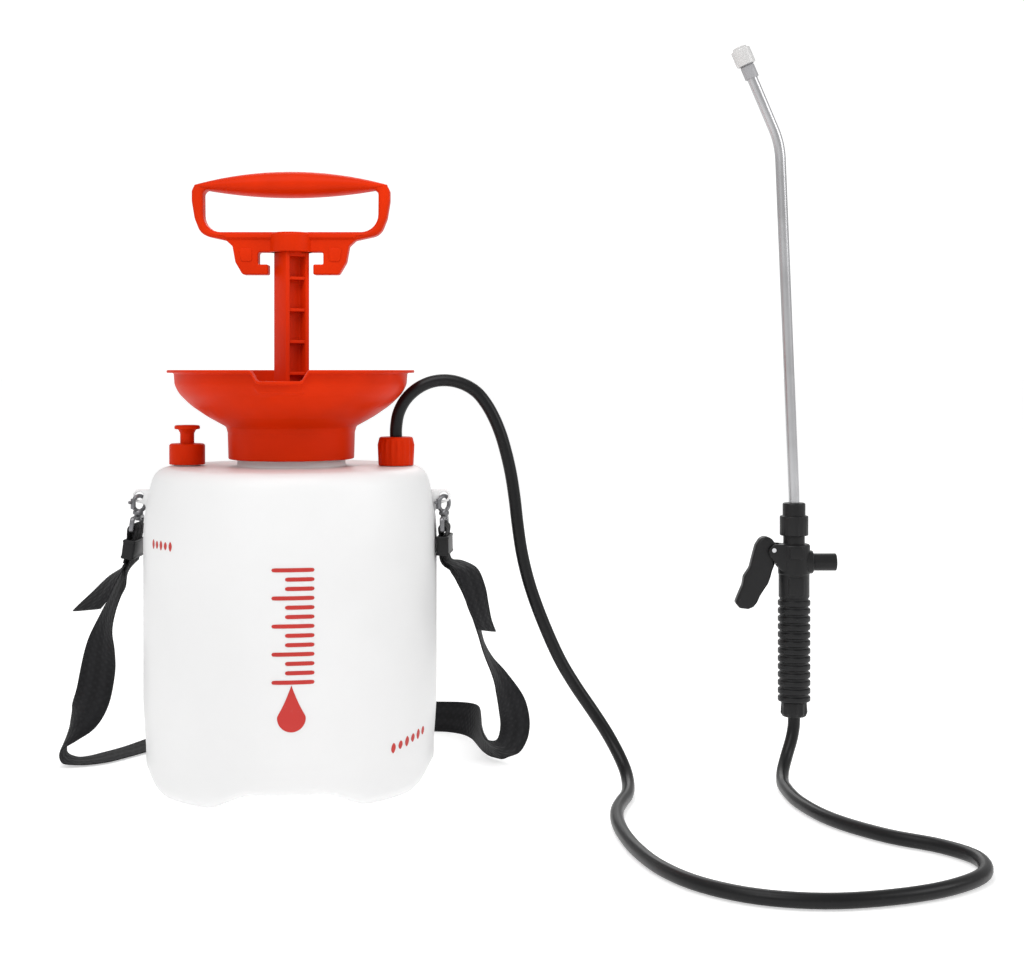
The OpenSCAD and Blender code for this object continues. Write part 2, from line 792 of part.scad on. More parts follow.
// Keeper with a middle bar; a layer of webbing passes on each side of the bar
module slider(side) {
    color(black) translate(end_point(side, 0, slider_z(side)))
        rotate([0, -side * atan(lean_of(side)), -side * turn_of(side)]) difference() {
            translate([-4.2, -15, -6.5]) cube([8.4, 30, 13]);
            for (x = [-3.2, 1]) translate([x, -12.9, -7]) cube([2.2, 25.8, 14]);
        }
}

module slider_left() {
    slider(-1);
}

module slider_right() {
    slider(1);
}

// A row of the webbing near a hook: x is the distance outwards from the middle of its layers
function end_row(side, x, z) = [end_point(side, x, z), [-sin(turn_of(side)), -side * cos(turn_of(side)), 0]];

// Up through the slider, over the hook's bar and down through the slider again
function bar_rows(side) = concat(
    [for (r = [[2.8, -10.5], [2.1, -7], [2.1, 0], [2.1, 7]]) end_row(side, r[0], slider_z(side) + r[1])],
    [for (a = [0 : 30 : 180]) end_row(side, 2.6 * cos(a), loop_z + 2.3 + 2.6 * sin(a))],
    [for (r = [[-2.1, 7], [-2.1, 0], [-2.1, -7], [-1.4, -10.5]]) end_row(side, r[0], slider_z(side) + r[1])]);

function turned(rows) = [for (i = [len(rows) - 1 : -1 : 0]) rows[i]];

// The webbing: left tail, left hook, down to the floor, round behind the tank, right hook, right tail
strap_route = concat(
    [[[-138.5, -11.5, 117.3], [-0.5, 0.8, 0.3]], [[-131, -8.5, 125.8], [-0.5, 0.8, 0.2]],
        [[-121.8, -4, 138.5], [-0.3, 0.9, 0.1]]],
    bar_rows(-1),
    [[[-114.5, 2.5, 141.5], [-0.4, 0.9, 0]], [[-119.5, 6.5, 132], [-0.4, 0.9, 0]], [[-126, 11, 118], [-0.45, 0.9, 0]],
        [[-132, 16, 103], [-0.6, 0.8, 0]], [[-136, 20, 88], [-0.85, 0.5, 0]], [[-140.2, 26, 68], [-1, 0.1, 0]],
        [[-145.3, 31, 48.5], [-1, 0, 0.05]], [[-151.5, 34, 36], [-0.93, 0.35, 0.12]],
        [[-160, 36, 24.5], [-0.55, 0.83, 0.1]], [[-167.3, 37.5, 13.5], [-0.1, 1, 0.05]],
        [[-166.5, 38.5, 5], [-0.1, 1, 0.05]], [[-157.5, 41, 1.9], [-0.3, 0.95, 0]],
        [[-147, 47, 1.4], [-0.55, 0.83, 0]], [[-136, 62, 1.4], [-0.8, 0.6, 0]], [[-125, 80, 1.5], [-0.82, 0.57, 0]],
        [[-111, 101, 2.4], [-0.78, 0.6, 0.08]], [[-80, 130, 5.2], [-0.35, 0.88, 0.28]],
        [[-40, 146, 8.8], [-0.1, 0.8, 0.58]], [[0, 152, 10.8], [0, 0.65, 0.76]], [[50, 154, 11.2], [0.05, 0.6, 0.8]],
        [[90, 150, 11], [0.12, 0.58, 0.8]], [[107, 145, 11.5], [0.15, 0.5, 0.8]], [[117.5, 135, 12.2], [0.25, 0.33, 0.84]],
        [[123.5, 120, 12.9], [0.2, 0.1, 0.9]], [[126.5, 103, 13], [0.12, 0, 0.95]], [[128.6, 86, 13.1], [0.02, -0.05, 0.97]],
        [[130.8, 69, 12.8], [-0.12, -0.2, 0.9]], [[134.5, 53, 12], [-0.28, -0.42, 0.78]],
        [[140.5, 41, 10.6], [-0.45, -0.58, 0.62]], [[148, 36.5, 12.8], [-0.62, -0.6, 0.46]],
        [[152.6, 38.5, 19.5], [-0.78, -0.55, 0.28]], [[154.2, 40.5, 27], [-0.83, -0.54, 0.1]],
        [[153.4, 40.5, 35.5], [-0.8, -0.6, 0]], [[150.2, 37.5, 46], [-0.68, -0.73, 0]],
        [[144, 33.5, 60], [-0.4, -0.9, 0]], [[137.4, 28, 73], [-0.12, -0.99, 0]], [[132.3, 21.5, 86], [-0.03, -1, 0]],
        [[128.6, 16, 101], [-0.05, -1, 0]], [[125, 11.5, 116], [-0.15, -0.98, 0]],
        [[120.5, 8, 129.8], [-0.25, -0.97, 0]], [[114.8, 4.8, 139.6], [-0.25, -0.97, 0]],
        [[108.9, 2.2, 146.2], [-0.15, -0.98, 0]]],
    turned(bar_rows(1)),
    [[[113.8, -2.4, 148.4], [-0.32, -0.93, 0]], [[121.4, -6, 143.6], [-0.5, -0.85, 0]], [[126.2, -9, 131], [-0.58, -0.8, 0]],
        [[129.3, -10, 119], [-0.52, -0.85, 0]], [[132.6, -11, 108.5], [-0.42, -0.9, 0]],
        [[136.3, -12, 100], [-0.38, -0.92, 0]]]);

module strap() {
    color(black) band(strap_route);
}

tank();
funnel();
funnel_gasket();
pump_cylinder();
pump_cap();
pump_gasket();
check_valve();
piston();
piston_seal();
rod();
handle();
handle_pin();
relief_seat();
relief_gasket();
relief_nut();
relief_stem();
relief_spring();
relief_seal();
outlet_nut();
outlet_barb();
outlet_gasket();
dip_tube();
dip_filter();
hose();
grip();
grip_cap();
grip_barb();
grip_filter();
trigger();
trigger_pin();
valve_stem();
valve_seal();
valve_spring();
valve_cap();
lance_nut();
lance_seal();
lance_tube();
nozzle_body();
nozzle_core();
nozzle_seal();
nozzle_cap();
strap();
strap_hook_left();
strap_hook_right();
slider_left();
slider_right();
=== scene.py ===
"""Visual model of a pump pressure sprayer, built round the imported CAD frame.

Shapes are drawn in millimetres in the frame's own axes (X along the front, Y to the back, Z up)
and turned into metres by mesh_of and tube_line.
"""
import json
import math
from math import sin, cos, pi, radians, sqrt

import bmesh
import bpy
from mathutils import Vector, Matrix


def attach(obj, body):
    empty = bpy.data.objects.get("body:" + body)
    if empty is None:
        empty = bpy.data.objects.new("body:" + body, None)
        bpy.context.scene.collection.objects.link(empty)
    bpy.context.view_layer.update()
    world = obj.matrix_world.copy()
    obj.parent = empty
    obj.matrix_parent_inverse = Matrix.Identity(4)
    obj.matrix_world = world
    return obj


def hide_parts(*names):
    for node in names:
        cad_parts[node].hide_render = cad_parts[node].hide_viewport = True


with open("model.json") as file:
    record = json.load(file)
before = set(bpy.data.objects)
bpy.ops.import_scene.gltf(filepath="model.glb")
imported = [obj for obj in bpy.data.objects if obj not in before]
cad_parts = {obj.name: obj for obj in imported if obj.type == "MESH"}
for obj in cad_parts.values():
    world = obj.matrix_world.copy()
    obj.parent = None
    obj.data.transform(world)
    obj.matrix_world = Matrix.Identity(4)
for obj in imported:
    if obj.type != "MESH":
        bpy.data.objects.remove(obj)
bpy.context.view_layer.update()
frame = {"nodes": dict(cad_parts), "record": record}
scene = bpy.context.scene
MM = 0.001
TANK_R = 100             # the tank's outside radius
PORT_X = 72              # the relief valve is at -PORT_X, the outlet at PORT_X
WAND_X = 346.5           # axis of the hand valve
HOSE_R = 4.25
LANCE_R = 3.65
FOOT_TURN = radians(5.5)     # turn of the feet and arches about the tank's axis


# ------------------------------------------------------------------ materials
def noise(nt, vector, scale, detail=2):
    node = nt.nodes.new("ShaderNodeTexNoise")
    node.inputs["Scale"].default_value = scale
    node.inputs["Detail"].default_value = detail
    nt.links.new(vector, node.inputs["Vector"])
    return node.outputs["Fac"]


def spread(nt, value, source, target):
    """Maps a value from the range source to the range target."""
    node = nt.nodes.new("ShaderNodeMapRange")
    for key, v in zip(("From Min", "From Max", "To Min", "To Max"), (*source, *target)):
        node.inputs[key].default_value = v
    nt.links.new(value, node.inputs["Value"])
    return node.outputs["Result"]


def tint(nt, factor, base, colour):
    """Mixes one colour into another by a factor."""
    node = nt.nodes.new("ShaderNodeMix")
    node.data_type = "RGBA"
    nt.links.new(factor, node.inputs["Factor"])
    nt.links.new(base, node.inputs["A"])
    node.inputs["B"].default_value = colour
    return node.outputs["Result"]


def material(name, colour, rough, metal=0.0, grain=900, bump=0.1, depth=0.0002, shade=0.12,
             patch=25, scratch=0.0, extra=None, edge=0.0, dust=0.0):
    """A procedural finish: fine grain in the bump, slow patches in colour and roughness, paler
    edges, specks of dust and fine lines along Z. Coordinates are the object's own, in metres."""
    m = bpy.data.materials.new(name)
    m.use_nodes = True
    nt = m.node_tree
    n, l = nt.nodes, nt.links
    p = n["Principled BSDF"]
    p.inputs["Metallic"].default_value = metal
    for k, v in (extra or {}).items():
        p.inputs[k].default_value = v
    at = n.new("ShaderNodeTexCoord").outputs["Object"]
    slow, fine = noise(nt, at, patch, 4), noise(nt, at, grain, 3)
    ramp = n.new("ShaderNodeValToRGB")
    for end, place, k in zip(ramp.color_ramp.elements, (0.3, 0.7), (1 - shade, 1 + shade)):
        end.position = place
        end.color = [min(1, c * k) for c in colour] + [1]
    l.new(slow, ramp.inputs["Fac"])
    out = ramp.outputs["Color"]
    if edge:
        worn = spread(nt, n.new("ShaderNodeNewGeometry").outputs["Pointiness"], (0.52, 0.62), (0, edge))
        out = tint(nt, worn, out, [min(1, c * 1.35 + 0.008) for c in colour] + [1])
    if dust:
        specks = spread(nt, noise(nt, at, 400), (0.62, 0.75), (0, dust))
        out = tint(nt, specks, out, [min(1, c * 0.8 + 0.1) for c in colour] + [1])
    l.new(out, p.inputs["Base Color"])
    l.new(spread(nt, slow, (0, 1), (max(0.02, rough - 0.08), rough + 0.08)), p.inputs["Roughness"])
    b = n.new("ShaderNodeBump")
    b.inputs["Strength"].default_value = bump
    b.inputs["Distance"].default_value = depth
    height = fine
    if scratch:
        mp = n.new("ShaderNodeMapping")
        mp.inputs["Scale"].default_value = (1, 1, 0.02)
        l.new(at, mp.inputs["Vector"])
        add = n.new("ShaderNodeMath")
        add.operation = "MULTIPLY_ADD"
        l.new(noise(nt, mp.outputs["Vector"], 2500), add.inputs[0])
        add.inputs[1].default_value = scratch
        l.new(fine, add.inputs[2])
        height = add.outputs[0]
    l.new(height, b.inputs["Height"])
    l.new(b.outputs["Normal"], p.inputs["Normal"])
    return m


RED = material("red_plastic", (0.58, 0.023, 0.0005), 0.42, grain=700, bump=0.12, shade=0.09, edge=0.25,
               extra={"Specular IOR Level": 0.06})
TANK = material("tank_plastic", (0.765, 0.765, 0.765), 0.42, grain=350, bump=0.10, depth=0.0003, shade=0.02,
                patch=12, extra={"Subsurface Weight": 0.2, "Subsurface Scale": 0.01, "Subsurface Radius": (1, 1, 1),
                                "Specular IOR Level": 0.4})
BLACK = material("black_plastic", (0.008, 0.008, 0.0085), 0.42, grain=1100, bump=0.18, shade=0.25, edge=0.4,
                 extra={"Specular IOR Level": 0.26})
RUBBER = material("black_rubber", (0.011, 0.011, 0.011), 0.62, grain=1500, bump=0.2, shade=0.3)
HOSE = material("hose_rubber", (0.005, 0.005, 0.0055), 0.35, grain=800, bump=0.12, shade=0.25, dust=0.06,
                extra={"Specular IOR Level": 0.24})
WHITE = material("white_plastic", (0.76, 0.76, 0.74), 0.4, grain=900, bump=0.1, shade=0.03)
GREY = material("grey_plastic", (0.30, 0.30, 0.31), 0.38, grain=900, bump=0.12, shade=0.1, edge=0.3)
CLEAR = material("clear_plastic", (0.53, 0.525, 0.52), 0.26, grain=260, bump=0.03, shade=0.05,
                 extra={"Subsurface Weight": 0.3, "Subsurface Scale": 0.003, "Subsurface Radius": (1, 1, 1)})
STEEL = material("steel", (0.62, 0.62, 0.64), 0.28, metal=1.0, grain=1600, bump=0.12, shade=0.1, scratch=0.6)
LANCE = material("lance_metal", (0.48, 0.48, 0.49), 0.30, metal=1.0, grain=1600, bump=0.10, shade=0.12, scratch=1.0)
PLATED = material("plated_metal", (0.20, 0.20, 0.21), 0.35, metal=0.85, grain=1300, bump=0.15, shade=0.2, edge=0.5)
INK = material("red_ink", (0.46, 0.014, 0.008), 0.45, grain=1500, bump=0.08, depth=0.00005, shade=0.08, dust=0.1)


def webbing():
    """Woven black webbing. The weave follows the strap's own map: U across, V along, in metres."""
    m = material("webbing", (0.006, 0.006, 0.007), 0.75, grain=2500, bump=0.3, shade=0.3,
                 extra={"Sheen Weight": 0.03, "Sheen Roughness": 0.4, "Specular IOR Level": 0.2})
    nt = m.node_tree
    n, l = nt.nodes, nt.links
    p = n["Principled BSDF"]
    uv = n.new("ShaderNodeUVMap")
    uv.uv_map = "weave"
    height = None
    for angle, scale in ((45, 460), (-45, 460), (0, 210)):
        mp = n.new("ShaderNodeMapping")
        mp.inputs["Rotation"].default_value = (0, 0, radians(angle))
        l.new(uv.outputs["UV"], mp.inputs["Vector"])
        w = n.new("ShaderNodeTexWave")
        w.inputs["Scale"].default_value = scale / 6.283
        w.inputs["Distortion"].default_value = 0.4
        w.inputs["Detail"].default_value = 1
        l.new(mp.outputs["Vector"], w.inputs["Vector"])
        if height is None:
            height = w.outputs["Fac"]
        else:
            mx = n.new("ShaderNodeMath")
            mx.operation = "MULTIPLY" if angle == -45 else "ADD"
            l.new(height, mx.inputs[0])
            l.new(w.outputs["Fac"], mx.inputs[1])
            height = mx.outputs[0]
    b = n.new("ShaderNodeBump")
    b.inputs["Strength"].default_value = 0.7
    b.inputs["Distance"].default_value = 0.0004
    l.new(height, b.inputs["Height"])
    l.new(n["Bump"].outputs["Normal"], b.inputs["Normal"])
    l.new(b.outputs["Normal"], p.inputs["Normal"])
    plain = p.inputs["Base Color"].links[0].from_socket
    l.new(tint(nt, spread(nt, height, (0, 1.6), (0, 0.8)), plain, (0.013, 0.013, 0.0145, 1)),
          p.inputs["Base Color"])
    return m


WEB = webbing()

SLOT_MATERIAL = {
    "translucent_plastic": TANK, "red_plastic": RED, "black_plastic": BLACK, "white_plastic": WHITE,
    "grey_plastic": GREY, "clear_plastic": CLEAR, "black_rubber": RUBBER, "black_hose": HOSE,
    "steel": STEEL, "lance_metal": LANCE, "grey_metal": PLATED, "webbing": WEB}
NODE_SLOT = {s["node"]: s["material_slot"] for s in frame["record"]["subparts"]}
for node, obj in frame["nodes"].items():
    for i in range(max(1, len(obj.material_slots))):
        if not obj.material_slots:
            obj.data.materials.append(SLOT_MATERIAL[NODE_SLOT[node]])
        obj.material_slots[i].material = SLOT_MATERIAL[NODE_SLOT[node]]


# ------------------------------------------------------------------ mesh helpers
def piece(name, mesh, mat, body, nodes=(), smooth=40):
    """Puts a mesh on its body, shaded smooth up to an angle in degrees, in place of CAD nodes."""
    o = bpy.data.objects.new(name, mesh)
    scene.collection.objects.link(o)
    mesh.materials.append(mat)
    if smooth:
        for f in mesh.polygons:
            f.use_smooth = True
        mesh.set_sharp_from_angle(angle=radians(smooth))
    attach(o, body)
    if nodes:
        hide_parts(*nodes)
    return o


def mesh_of(parts):
    """One mesh from (vertices in mm, faces) lists."""
    verts, faces = [], []
    for v, f in parts:
        k = len(verts)
        verts += [Vector(p) * MM for p in v]
        faces += [[i + k for i in q] for q in f]
    me = bpy.data.meshes.new("m")
    me.from_pydata(verts, [], faces)
    bm = bmesh.new()
    bm.from_mesh(me)
    bmesh.ops.recalc_face_normals(bm, faces=bm.faces)
    bm.to_mesh(me)
    bm.free()
    me.update()
    return me


def move(part, matrix):
    """Moves (vertices, faces) by a matrix whose shift is in mm."""
    return [matrix @ Vector(p) for p in part[0]], part[1]


def fillet(pts, n=5):
    """Rounds a closed polygon's corners. Each point is (a, b) or (a, b, radius)."""
    out, m = [], len(pts)
    for i in range(m):
        q = pts[i]
        r = q[2] if len(q) > 2 else 0
        p = Vector(q[:2])
        a, b = Vector(pts[i - 1][:2]) - p, Vector(pts[(i + 1) % m][:2]) - p
        if r <= 0 or a.length < 1e-6 or b.length < 1e-6:
            out.append(tuple(p))
            continue
        ang = a.angle(b)
        if ang > pi - 0.02:
            out.append(tuple(p))
            continue
        d = min(r / math.tan(ang / 2), 0.49 * a.length, 0.49 * b.length)
        rr = d * math.tan(ang / 2)
        c = p + (a.normalized() + b.normalized()).normalized() * (rr / sin(ang / 2))
        s, e = p + a.normalized() * d - c, p + b.normalized() * d - c
        turn = math.atan2(s.x * e.y - s.y * e.x, s.dot(e))
        for k in range(n + 1):
            t = turn * k / n
            out.append((c.x + s.x * cos(t) - s.y * sin(t), c.y + s.x * sin(t) + s.y * cos(t)))
    return out


def lathe(prof, seg, warp=None):
    """Revolves a polygon of (radius, z) about Z. Points on the axis become one vertex."""
    verts, rings = [], []
    for r, z in prof:
        if r < 1e-6:
            rings.append([len(verts)] * seg)
            verts.append((0, 0, z) if warp is None else warp(0, 0, z))
        else:
            rings.append(list(range(len(verts), len(verts) + seg)))
            for k in range(seg):
                a = 2 * pi * k / seg
                v = (r * cos(a), r * sin(a), z)
                verts.append(v if warp is None else warp(*v))
    faces, m = [], len(prof)
    for i in range(m):
        a, b = rings[i], rings[(i + 1) % m]
        if a[0] == a[1] and b[0] == b[1]:
            continue
        for k in range(seg):
            j = (k + 1) % seg
            q = [a[k], a[j], b[j], b[k]]
            faces.append([v for t, v in enumerate(q) if v != q[t - 1]])
    return verts, faces


def loft(rings):
    """A closed skin through equal rings of points, with a fan over each end."""
    n = len(rings[0])
    verts = [v for r in rings for v in r]
    faces = [[i * n + k, i * n + (k + 1) % n, (i + 1) * n + (k + 1) % n, (i + 1) * n + k]
             for i in range(len(rings) - 1) for k in range(n)]
    for base, sign in ((0, 1), ((len(rings) - 1) * n, -1)):
        c = len(verts)
        verts.append(sum((Vector(verts[base + k]) for k in range(n)), Vector()) / n)
        faces += [[base + k, base + (k + 1) % n, c][::sign] for k in range(n)]
    return verts, faces


def slab(outlines, thick, bevel, matrix=None, steps=3):
    """A plate with round edges from closed outlines in mm, the first one outside. It is
    centred on its own XY plane and then moved by matrix."""
    cu = bpy.data.curves.new("c", "CURVE")
    cu.dimensions = "2D"
    cu.fill_mode = "BOTH"
    for line in outlines:
        s = cu.splines.new("POLY")
        s.points.add(len(line) - 1)
        for q, p in zip(s.points, line):
            q.co = (p[0], p[1], 0, 1)
        s.use_cyclic_u = True
    cu.extrude = thick / 2 - bevel
    cu.bevel_depth = bevel
    cu.bevel_resolution = steps
    cu.offset = -bevel
    o = bpy.data.objects.new("c", cu)
    scene.collection.objects.link(o)
    me = bpy.data.meshes.new_from_object(o.evaluated_get(bpy.context.evaluated_depsgraph_get()))
    bpy.data.objects.remove(o)
    bm = bmesh.new()
    bm.from_mesh(me)
    bmesh.ops.remove_doubles(bm, verts=bm.verts, dist=1e-4)
    bmesh.ops.dissolve_limit(bm, angle_limit=radians(0.5), verts=bm.verts, edges=bm.edges)
    if matrix is not None:
        bm.transform(matrix)
    bm.verts.index_update()
    part = [v.co.copy() for v in bm.verts], [[v.index for v in f.verts] for f in bm.faces]
    bm.free()
    return part


def T(x=0, y=0, z=0):
    return Matrix.Translation((x, y, z))


def R(deg, axis):
    return Matrix.Rotation(radians(deg), 4, axis)


XZ = R(90, "X")          # a plate drawn in X and Z, centred on Y


def smooth01(t):
    t = max(0.0, min(1.0, t))
    return t * t * (3 - 2 * t)


def spline(points, per):
    """Centripetal Catmull-Rom through points of any dimension, per steps from each to the next."""
    pts = [Vector(p) for p in points]
    pts = [2 * pts[0] - pts[1]] + pts + [2 * pts[-1] - pts[-2]]
    out = []
    for i in range(1, len(pts) - 2):
        p = pts[i - 1:i + 3]
        t = [0.0]
        for a, b in zip(p, p[1:]):
            t.append(t[-1] + max(1e-6, (Vector(b[:3]) - Vector(a[:3])).length) ** 0.5)
        for k in range(per):
            u = t[1] + (t[2] - t[1]) * k / per
            a = [p[j] * ((t[j + 1] - u) / (t[j + 1] - t[j])) + p[j + 1] * ((u - t[j]) / (t[j + 1] - t[j]))
                 for j in range(3)]
            b = [a[j] * ((t[j + 2] - u) / (t[j + 2] - t[j])) + a[j + 1] * ((u - t[j]) / (t[j + 2] - t[j]))
                 for j in range(2)]
            out.append(b[0] * ((t[2] - u) / (t[2] - t[1])) + b[1] * ((u - t[1]) / (t[2] - t[1])))
    out.append(pts[-2])
    return out


def tube_line(name, points, radius, steps, mat):
    """A round tube with closed ends along points, all in mm. It stays a curve."""
    cu = bpy.data.curves.new(name, "CURVE")
    cu.dimensions = "3D"
    sp = cu.splines.new("POLY")
    sp.points.add(len(points) - 1)
    for q, p in zip(sp.points, points):
        q.co = (p[0] * MM, p[1] * MM, p[2] * MM, 1)
    sp.use_smooth = True
    cu.bevel_depth = radius * MM
    cu.bevel_resolution = steps
    cu.use_fill_caps = True
    cu.materials.append(mat)
    o = bpy.data.objects.new(name, cu)
    scene.collection.objects.link(o)
    return o


def ring_knurl(count, amount, z0, z1, fade, bore):
    """A warp that gives a lathe's outside moulded ribs between two heights."""
    def warp(x, y, z):
        r = sqrt(x * x + y * y)
        if r < bore:
            return x, y, z
        f = smooth01((z - z0) / fade) * smooth01((z1 - z) / fade)
        a = math.atan2(y, x)
        k = 1 + amount * f * max(-0.6, cos(count * a)) / r
        return x * k, y * k, z
    return warp


# ------------------------------------------------------------------ camera
cam = bpy.data.cameras.new("camera")
cam.lens = 58.62
cam.sensor_width = 36
cam.shift_y = -0.1045
cam_o = bpy.data.objects.new("camera", cam)
cam_o.location = (0.152, -1.150, 0.281)
cam_o.rotation_euler = (radians(90), 0, 0)
scene.collection.objects.link(cam_o)
scene.camera = cam_o

# ------------------------------------------------------------------ hose
hose_route = [
    (PORT_X, 0, 235), (PORT_X, 0, 240.5), (73.8, 0, 251.3), (78.9, 0, 260.9), (86.9, 0, 268.3), (96.8, 0, 272.9),
    (107.7, 0, 273.9), (118.3, 0, 271.4), (127.6, 0, 265.7), (134.5, 0, 257.2), (140, 0, 247.2),
    (144.3, 0, 236.5), (147.8, 0, 224.5), (151.2, 0, 209.5), (153.8, -0.5, 192.5), (156, -1.5, 173.5),
    (158.9, -2, 154.5), (163.8, -3, 134.5), (171.5, -4, 112.5), (184.5, -5, 83), (195.5, -6, 64.5),
    (207, -9, 48), (216.5, -14, 34), (223.5, -21, 22), (228, -31, 12.5), (229, -45, 6.4), (227, -63, 4.4),
    (222.5, -81, 4.4), (218.5, -100, 4.4), (216.8, -124, 4.4), (218.5, -154, 4.4), (224.5, -190, 4.4),
    (236, -226, 4.4), (254, -254, 4.4), (281, -274, 4.4), (315, -281.5, 4.4), (352, -275, 4.4),
    (387, -258.5, 4.4), (411.5, -234, 4.4), (416, -206, 4.4), (402, -182, 4.4), (375, -160, 4.4),
    (349, -124, 4.4), (336, -83, 4.4), (333, -50, 4.4), (333.6, -31, 4.7), (336, -17.5, 9),
    (340.4, -7.2, 17.3), (344.5, -2, 27.5), (346.2, -0.3, 35.2), (WAND_X, 0, 39.4), (WAND_X, 0, 42.4)]
hose_pts = spline(hose_route, 5)
hose = tube_line("hose_line", hose_pts, HOSE_R, 8, HOSE)
hose_length = sum((a - b).length for a, b in zip(hose_pts, hose_pts[1:])) * MM
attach(hose, "base")
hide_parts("hose")

# ------------------------------------------------------------------ strap
EAR_X, EAR_Z = 105.0, 194.2          # the hole in each strap ear
RING_R = 5.2             # of the snap hook's ring, to the middle of its wire
LOOP_Z = 170.0           # bottom of the hook's loop
LEAN_TOP = EAR_Z - RING_R            # the hook and the webbing lean from here down
# for the left and the right side: lean of the webbing, turn about the vertical, height of the keeper
LEAN = {-1: 0.14, 1: 0.02}
TURN = {-1: -1.0, 1: 4.0}
KEEPER_Z = {-1: 158.5, 1: 161.0}
BEND_R = 2.6             # of the webbing's middle, over the hook's bar
EAR_HOLE = 2.9


def end_point(side, x, z):
    """The place x out from the hook's middle plane at height z, in the frame's axes."""
    out, a = x + LEAN[side] * max(0, LEAN_TOP - z), radians(TURN[side])
    return side * (EAR_X + out * cos(a)), -out * sin(a), z


def end_row(side, x, z):
    """A row of the webbing: its middle, then the direction across it."""
    a = radians(TURN[side])
    return (*end_point(side, x, z), -sin(a), -side * cos(a), 0)


def bar_rows(side):
    """Rows up through the keeper, over the hook's bar and down through the keeper again."""
    through = ((2.8, -10.5), (2.1, -7), (2.1, 0), (2.1, 7))
    back = ((-2.1, 7), (-2.1, 0), (-2.1, -7), (-1.4, -10.5))
    return ([end_row(side, x, KEEPER_Z[side] + z) for x, z in through]
            + [end_row(side, BEND_R * cos(radians(a)), LOOP_Z + 2.3 + BEND_R * sin(radians(a)))
               for a in range(0, 181, 30)]
            + [end_row(side, x, KEEPER_Z[side] + z) for x, z in back])


# rows of the webbing: x, y, z of its middle in mm, then the direction across it
tail_left = [
    (-138.5, -11.5, 117.3, -0.5, 0.8, 0.3), (-131, -8.5, 125.8, -0.5, 0.8, 0.2),
    (-121.8, -4, 138.5, -0.3, 0.9, 0.1)]
round_the_back = [
    (-114.5, 2.5, 141.5, -0.4, 0.9, 0), (-119.5, 6.5, 132, -0.4, 0.9, 0), (-126, 11, 118, -0.45, 0.9, 0),
    (-132, 16, 103, -0.6, 0.8, 0), (-136, 20, 88, -0.85, 0.5, 0), (-140.2, 26, 68, -1, 0.1, 0),
    (-145.3, 31, 48.5, -1, 0, 0.05), (-151.5, 34, 36, -0.93, 0.35, 0.12), (-160, 36, 24.5, -0.55, 0.83, 0.1),
    (-167.3, 37.5, 13.5, -0.1, 1, 0.05), (-166.5, 38.5, 5, -0.1, 1, 0.05), (-157.5, 41, 1.9, -0.3, 0.95, 0),
    (-147, 47, 1.4, -0.55, 0.83, 0), (-136, 62, 1.4, -0.8, 0.6, 0), (-125, 80, 1.5, -0.82, 0.57, 0),
    (-111, 101, 2.4, -0.78, 0.6, 0.08), (-80, 130, 5.2, -0.35, 0.88, 0.28), (-40, 146, 8.8, -0.1, 0.8, 0.58),
    (0, 152, 10.8, 0, 0.65, 0.76), (50, 154, 11.2, 0.05, 0.6, 0.8), (90, 150, 11, 0.12, 0.58, 0.8),
    (107, 145, 11.5, 0.15, 0.5, 0.8), (117.5, 135, 12.2, 0.25, 0.33, 0.84),
    (123.5, 120, 12.9, 0.2, 0.1, 0.9), (126.5, 103, 13, 0.12, 0, 0.95), (128.6, 86, 13.1, 0.02, -0.05, 0.97),
    (130.8, 69, 12.8, -0.12, -0.2, 0.9), (134.5, 53, 12, -0.28, -0.42, 0.78),
    (140.5, 41, 10.6, -0.45, -0.58, 0.62), (148, 36.5, 12.8, -0.62, -0.6, 0.46),
    (152.6, 38.5, 19.5, -0.78, -0.55, 0.28), (154.2, 40.5, 27, -0.83, -0.54, 0.1),
    (153.4, 40.5, 35.5, -0.8, -0.6, 0), (150.2, 37.5, 46, -0.68, -0.73, 0), (144, 33.5, 60, -0.4, -0.9, 0),
    (137.4, 28, 73, -0.12, -0.99, 0), (132.3, 21.5, 86, -0.03, -1, 0), (128.6, 16, 101, -0.05, -1, 0),
    (125, 11.5, 116, -0.15, -0.98, 0), (120.5, 8, 129.8, -0.25, -0.97, 0),
    (114.8, 4.8, 139.6, -0.25, -0.97, 0), (108.9, 2.2, 146.2, -0.15, -0.98, 0)]
tail_right = [
    (113.8, -2.4, 148.4, -0.32, -0.93, 0), (121.4, -6, 143.6, -0.5, -0.85, 0),
    (126.2, -9, 131, -0.58, -0.8, 0), (129.3, -10, 119, -0.52, -0.85, 0),
    (132.6, -11, 108.5, -0.42, -0.9, 0), (136.3, -12, 100, -0.38, -0.92, 0)]
strap_rows = tail_left + bar_rows(-1) + round_the_back + bar_rows(1)[::-1] + tail_right


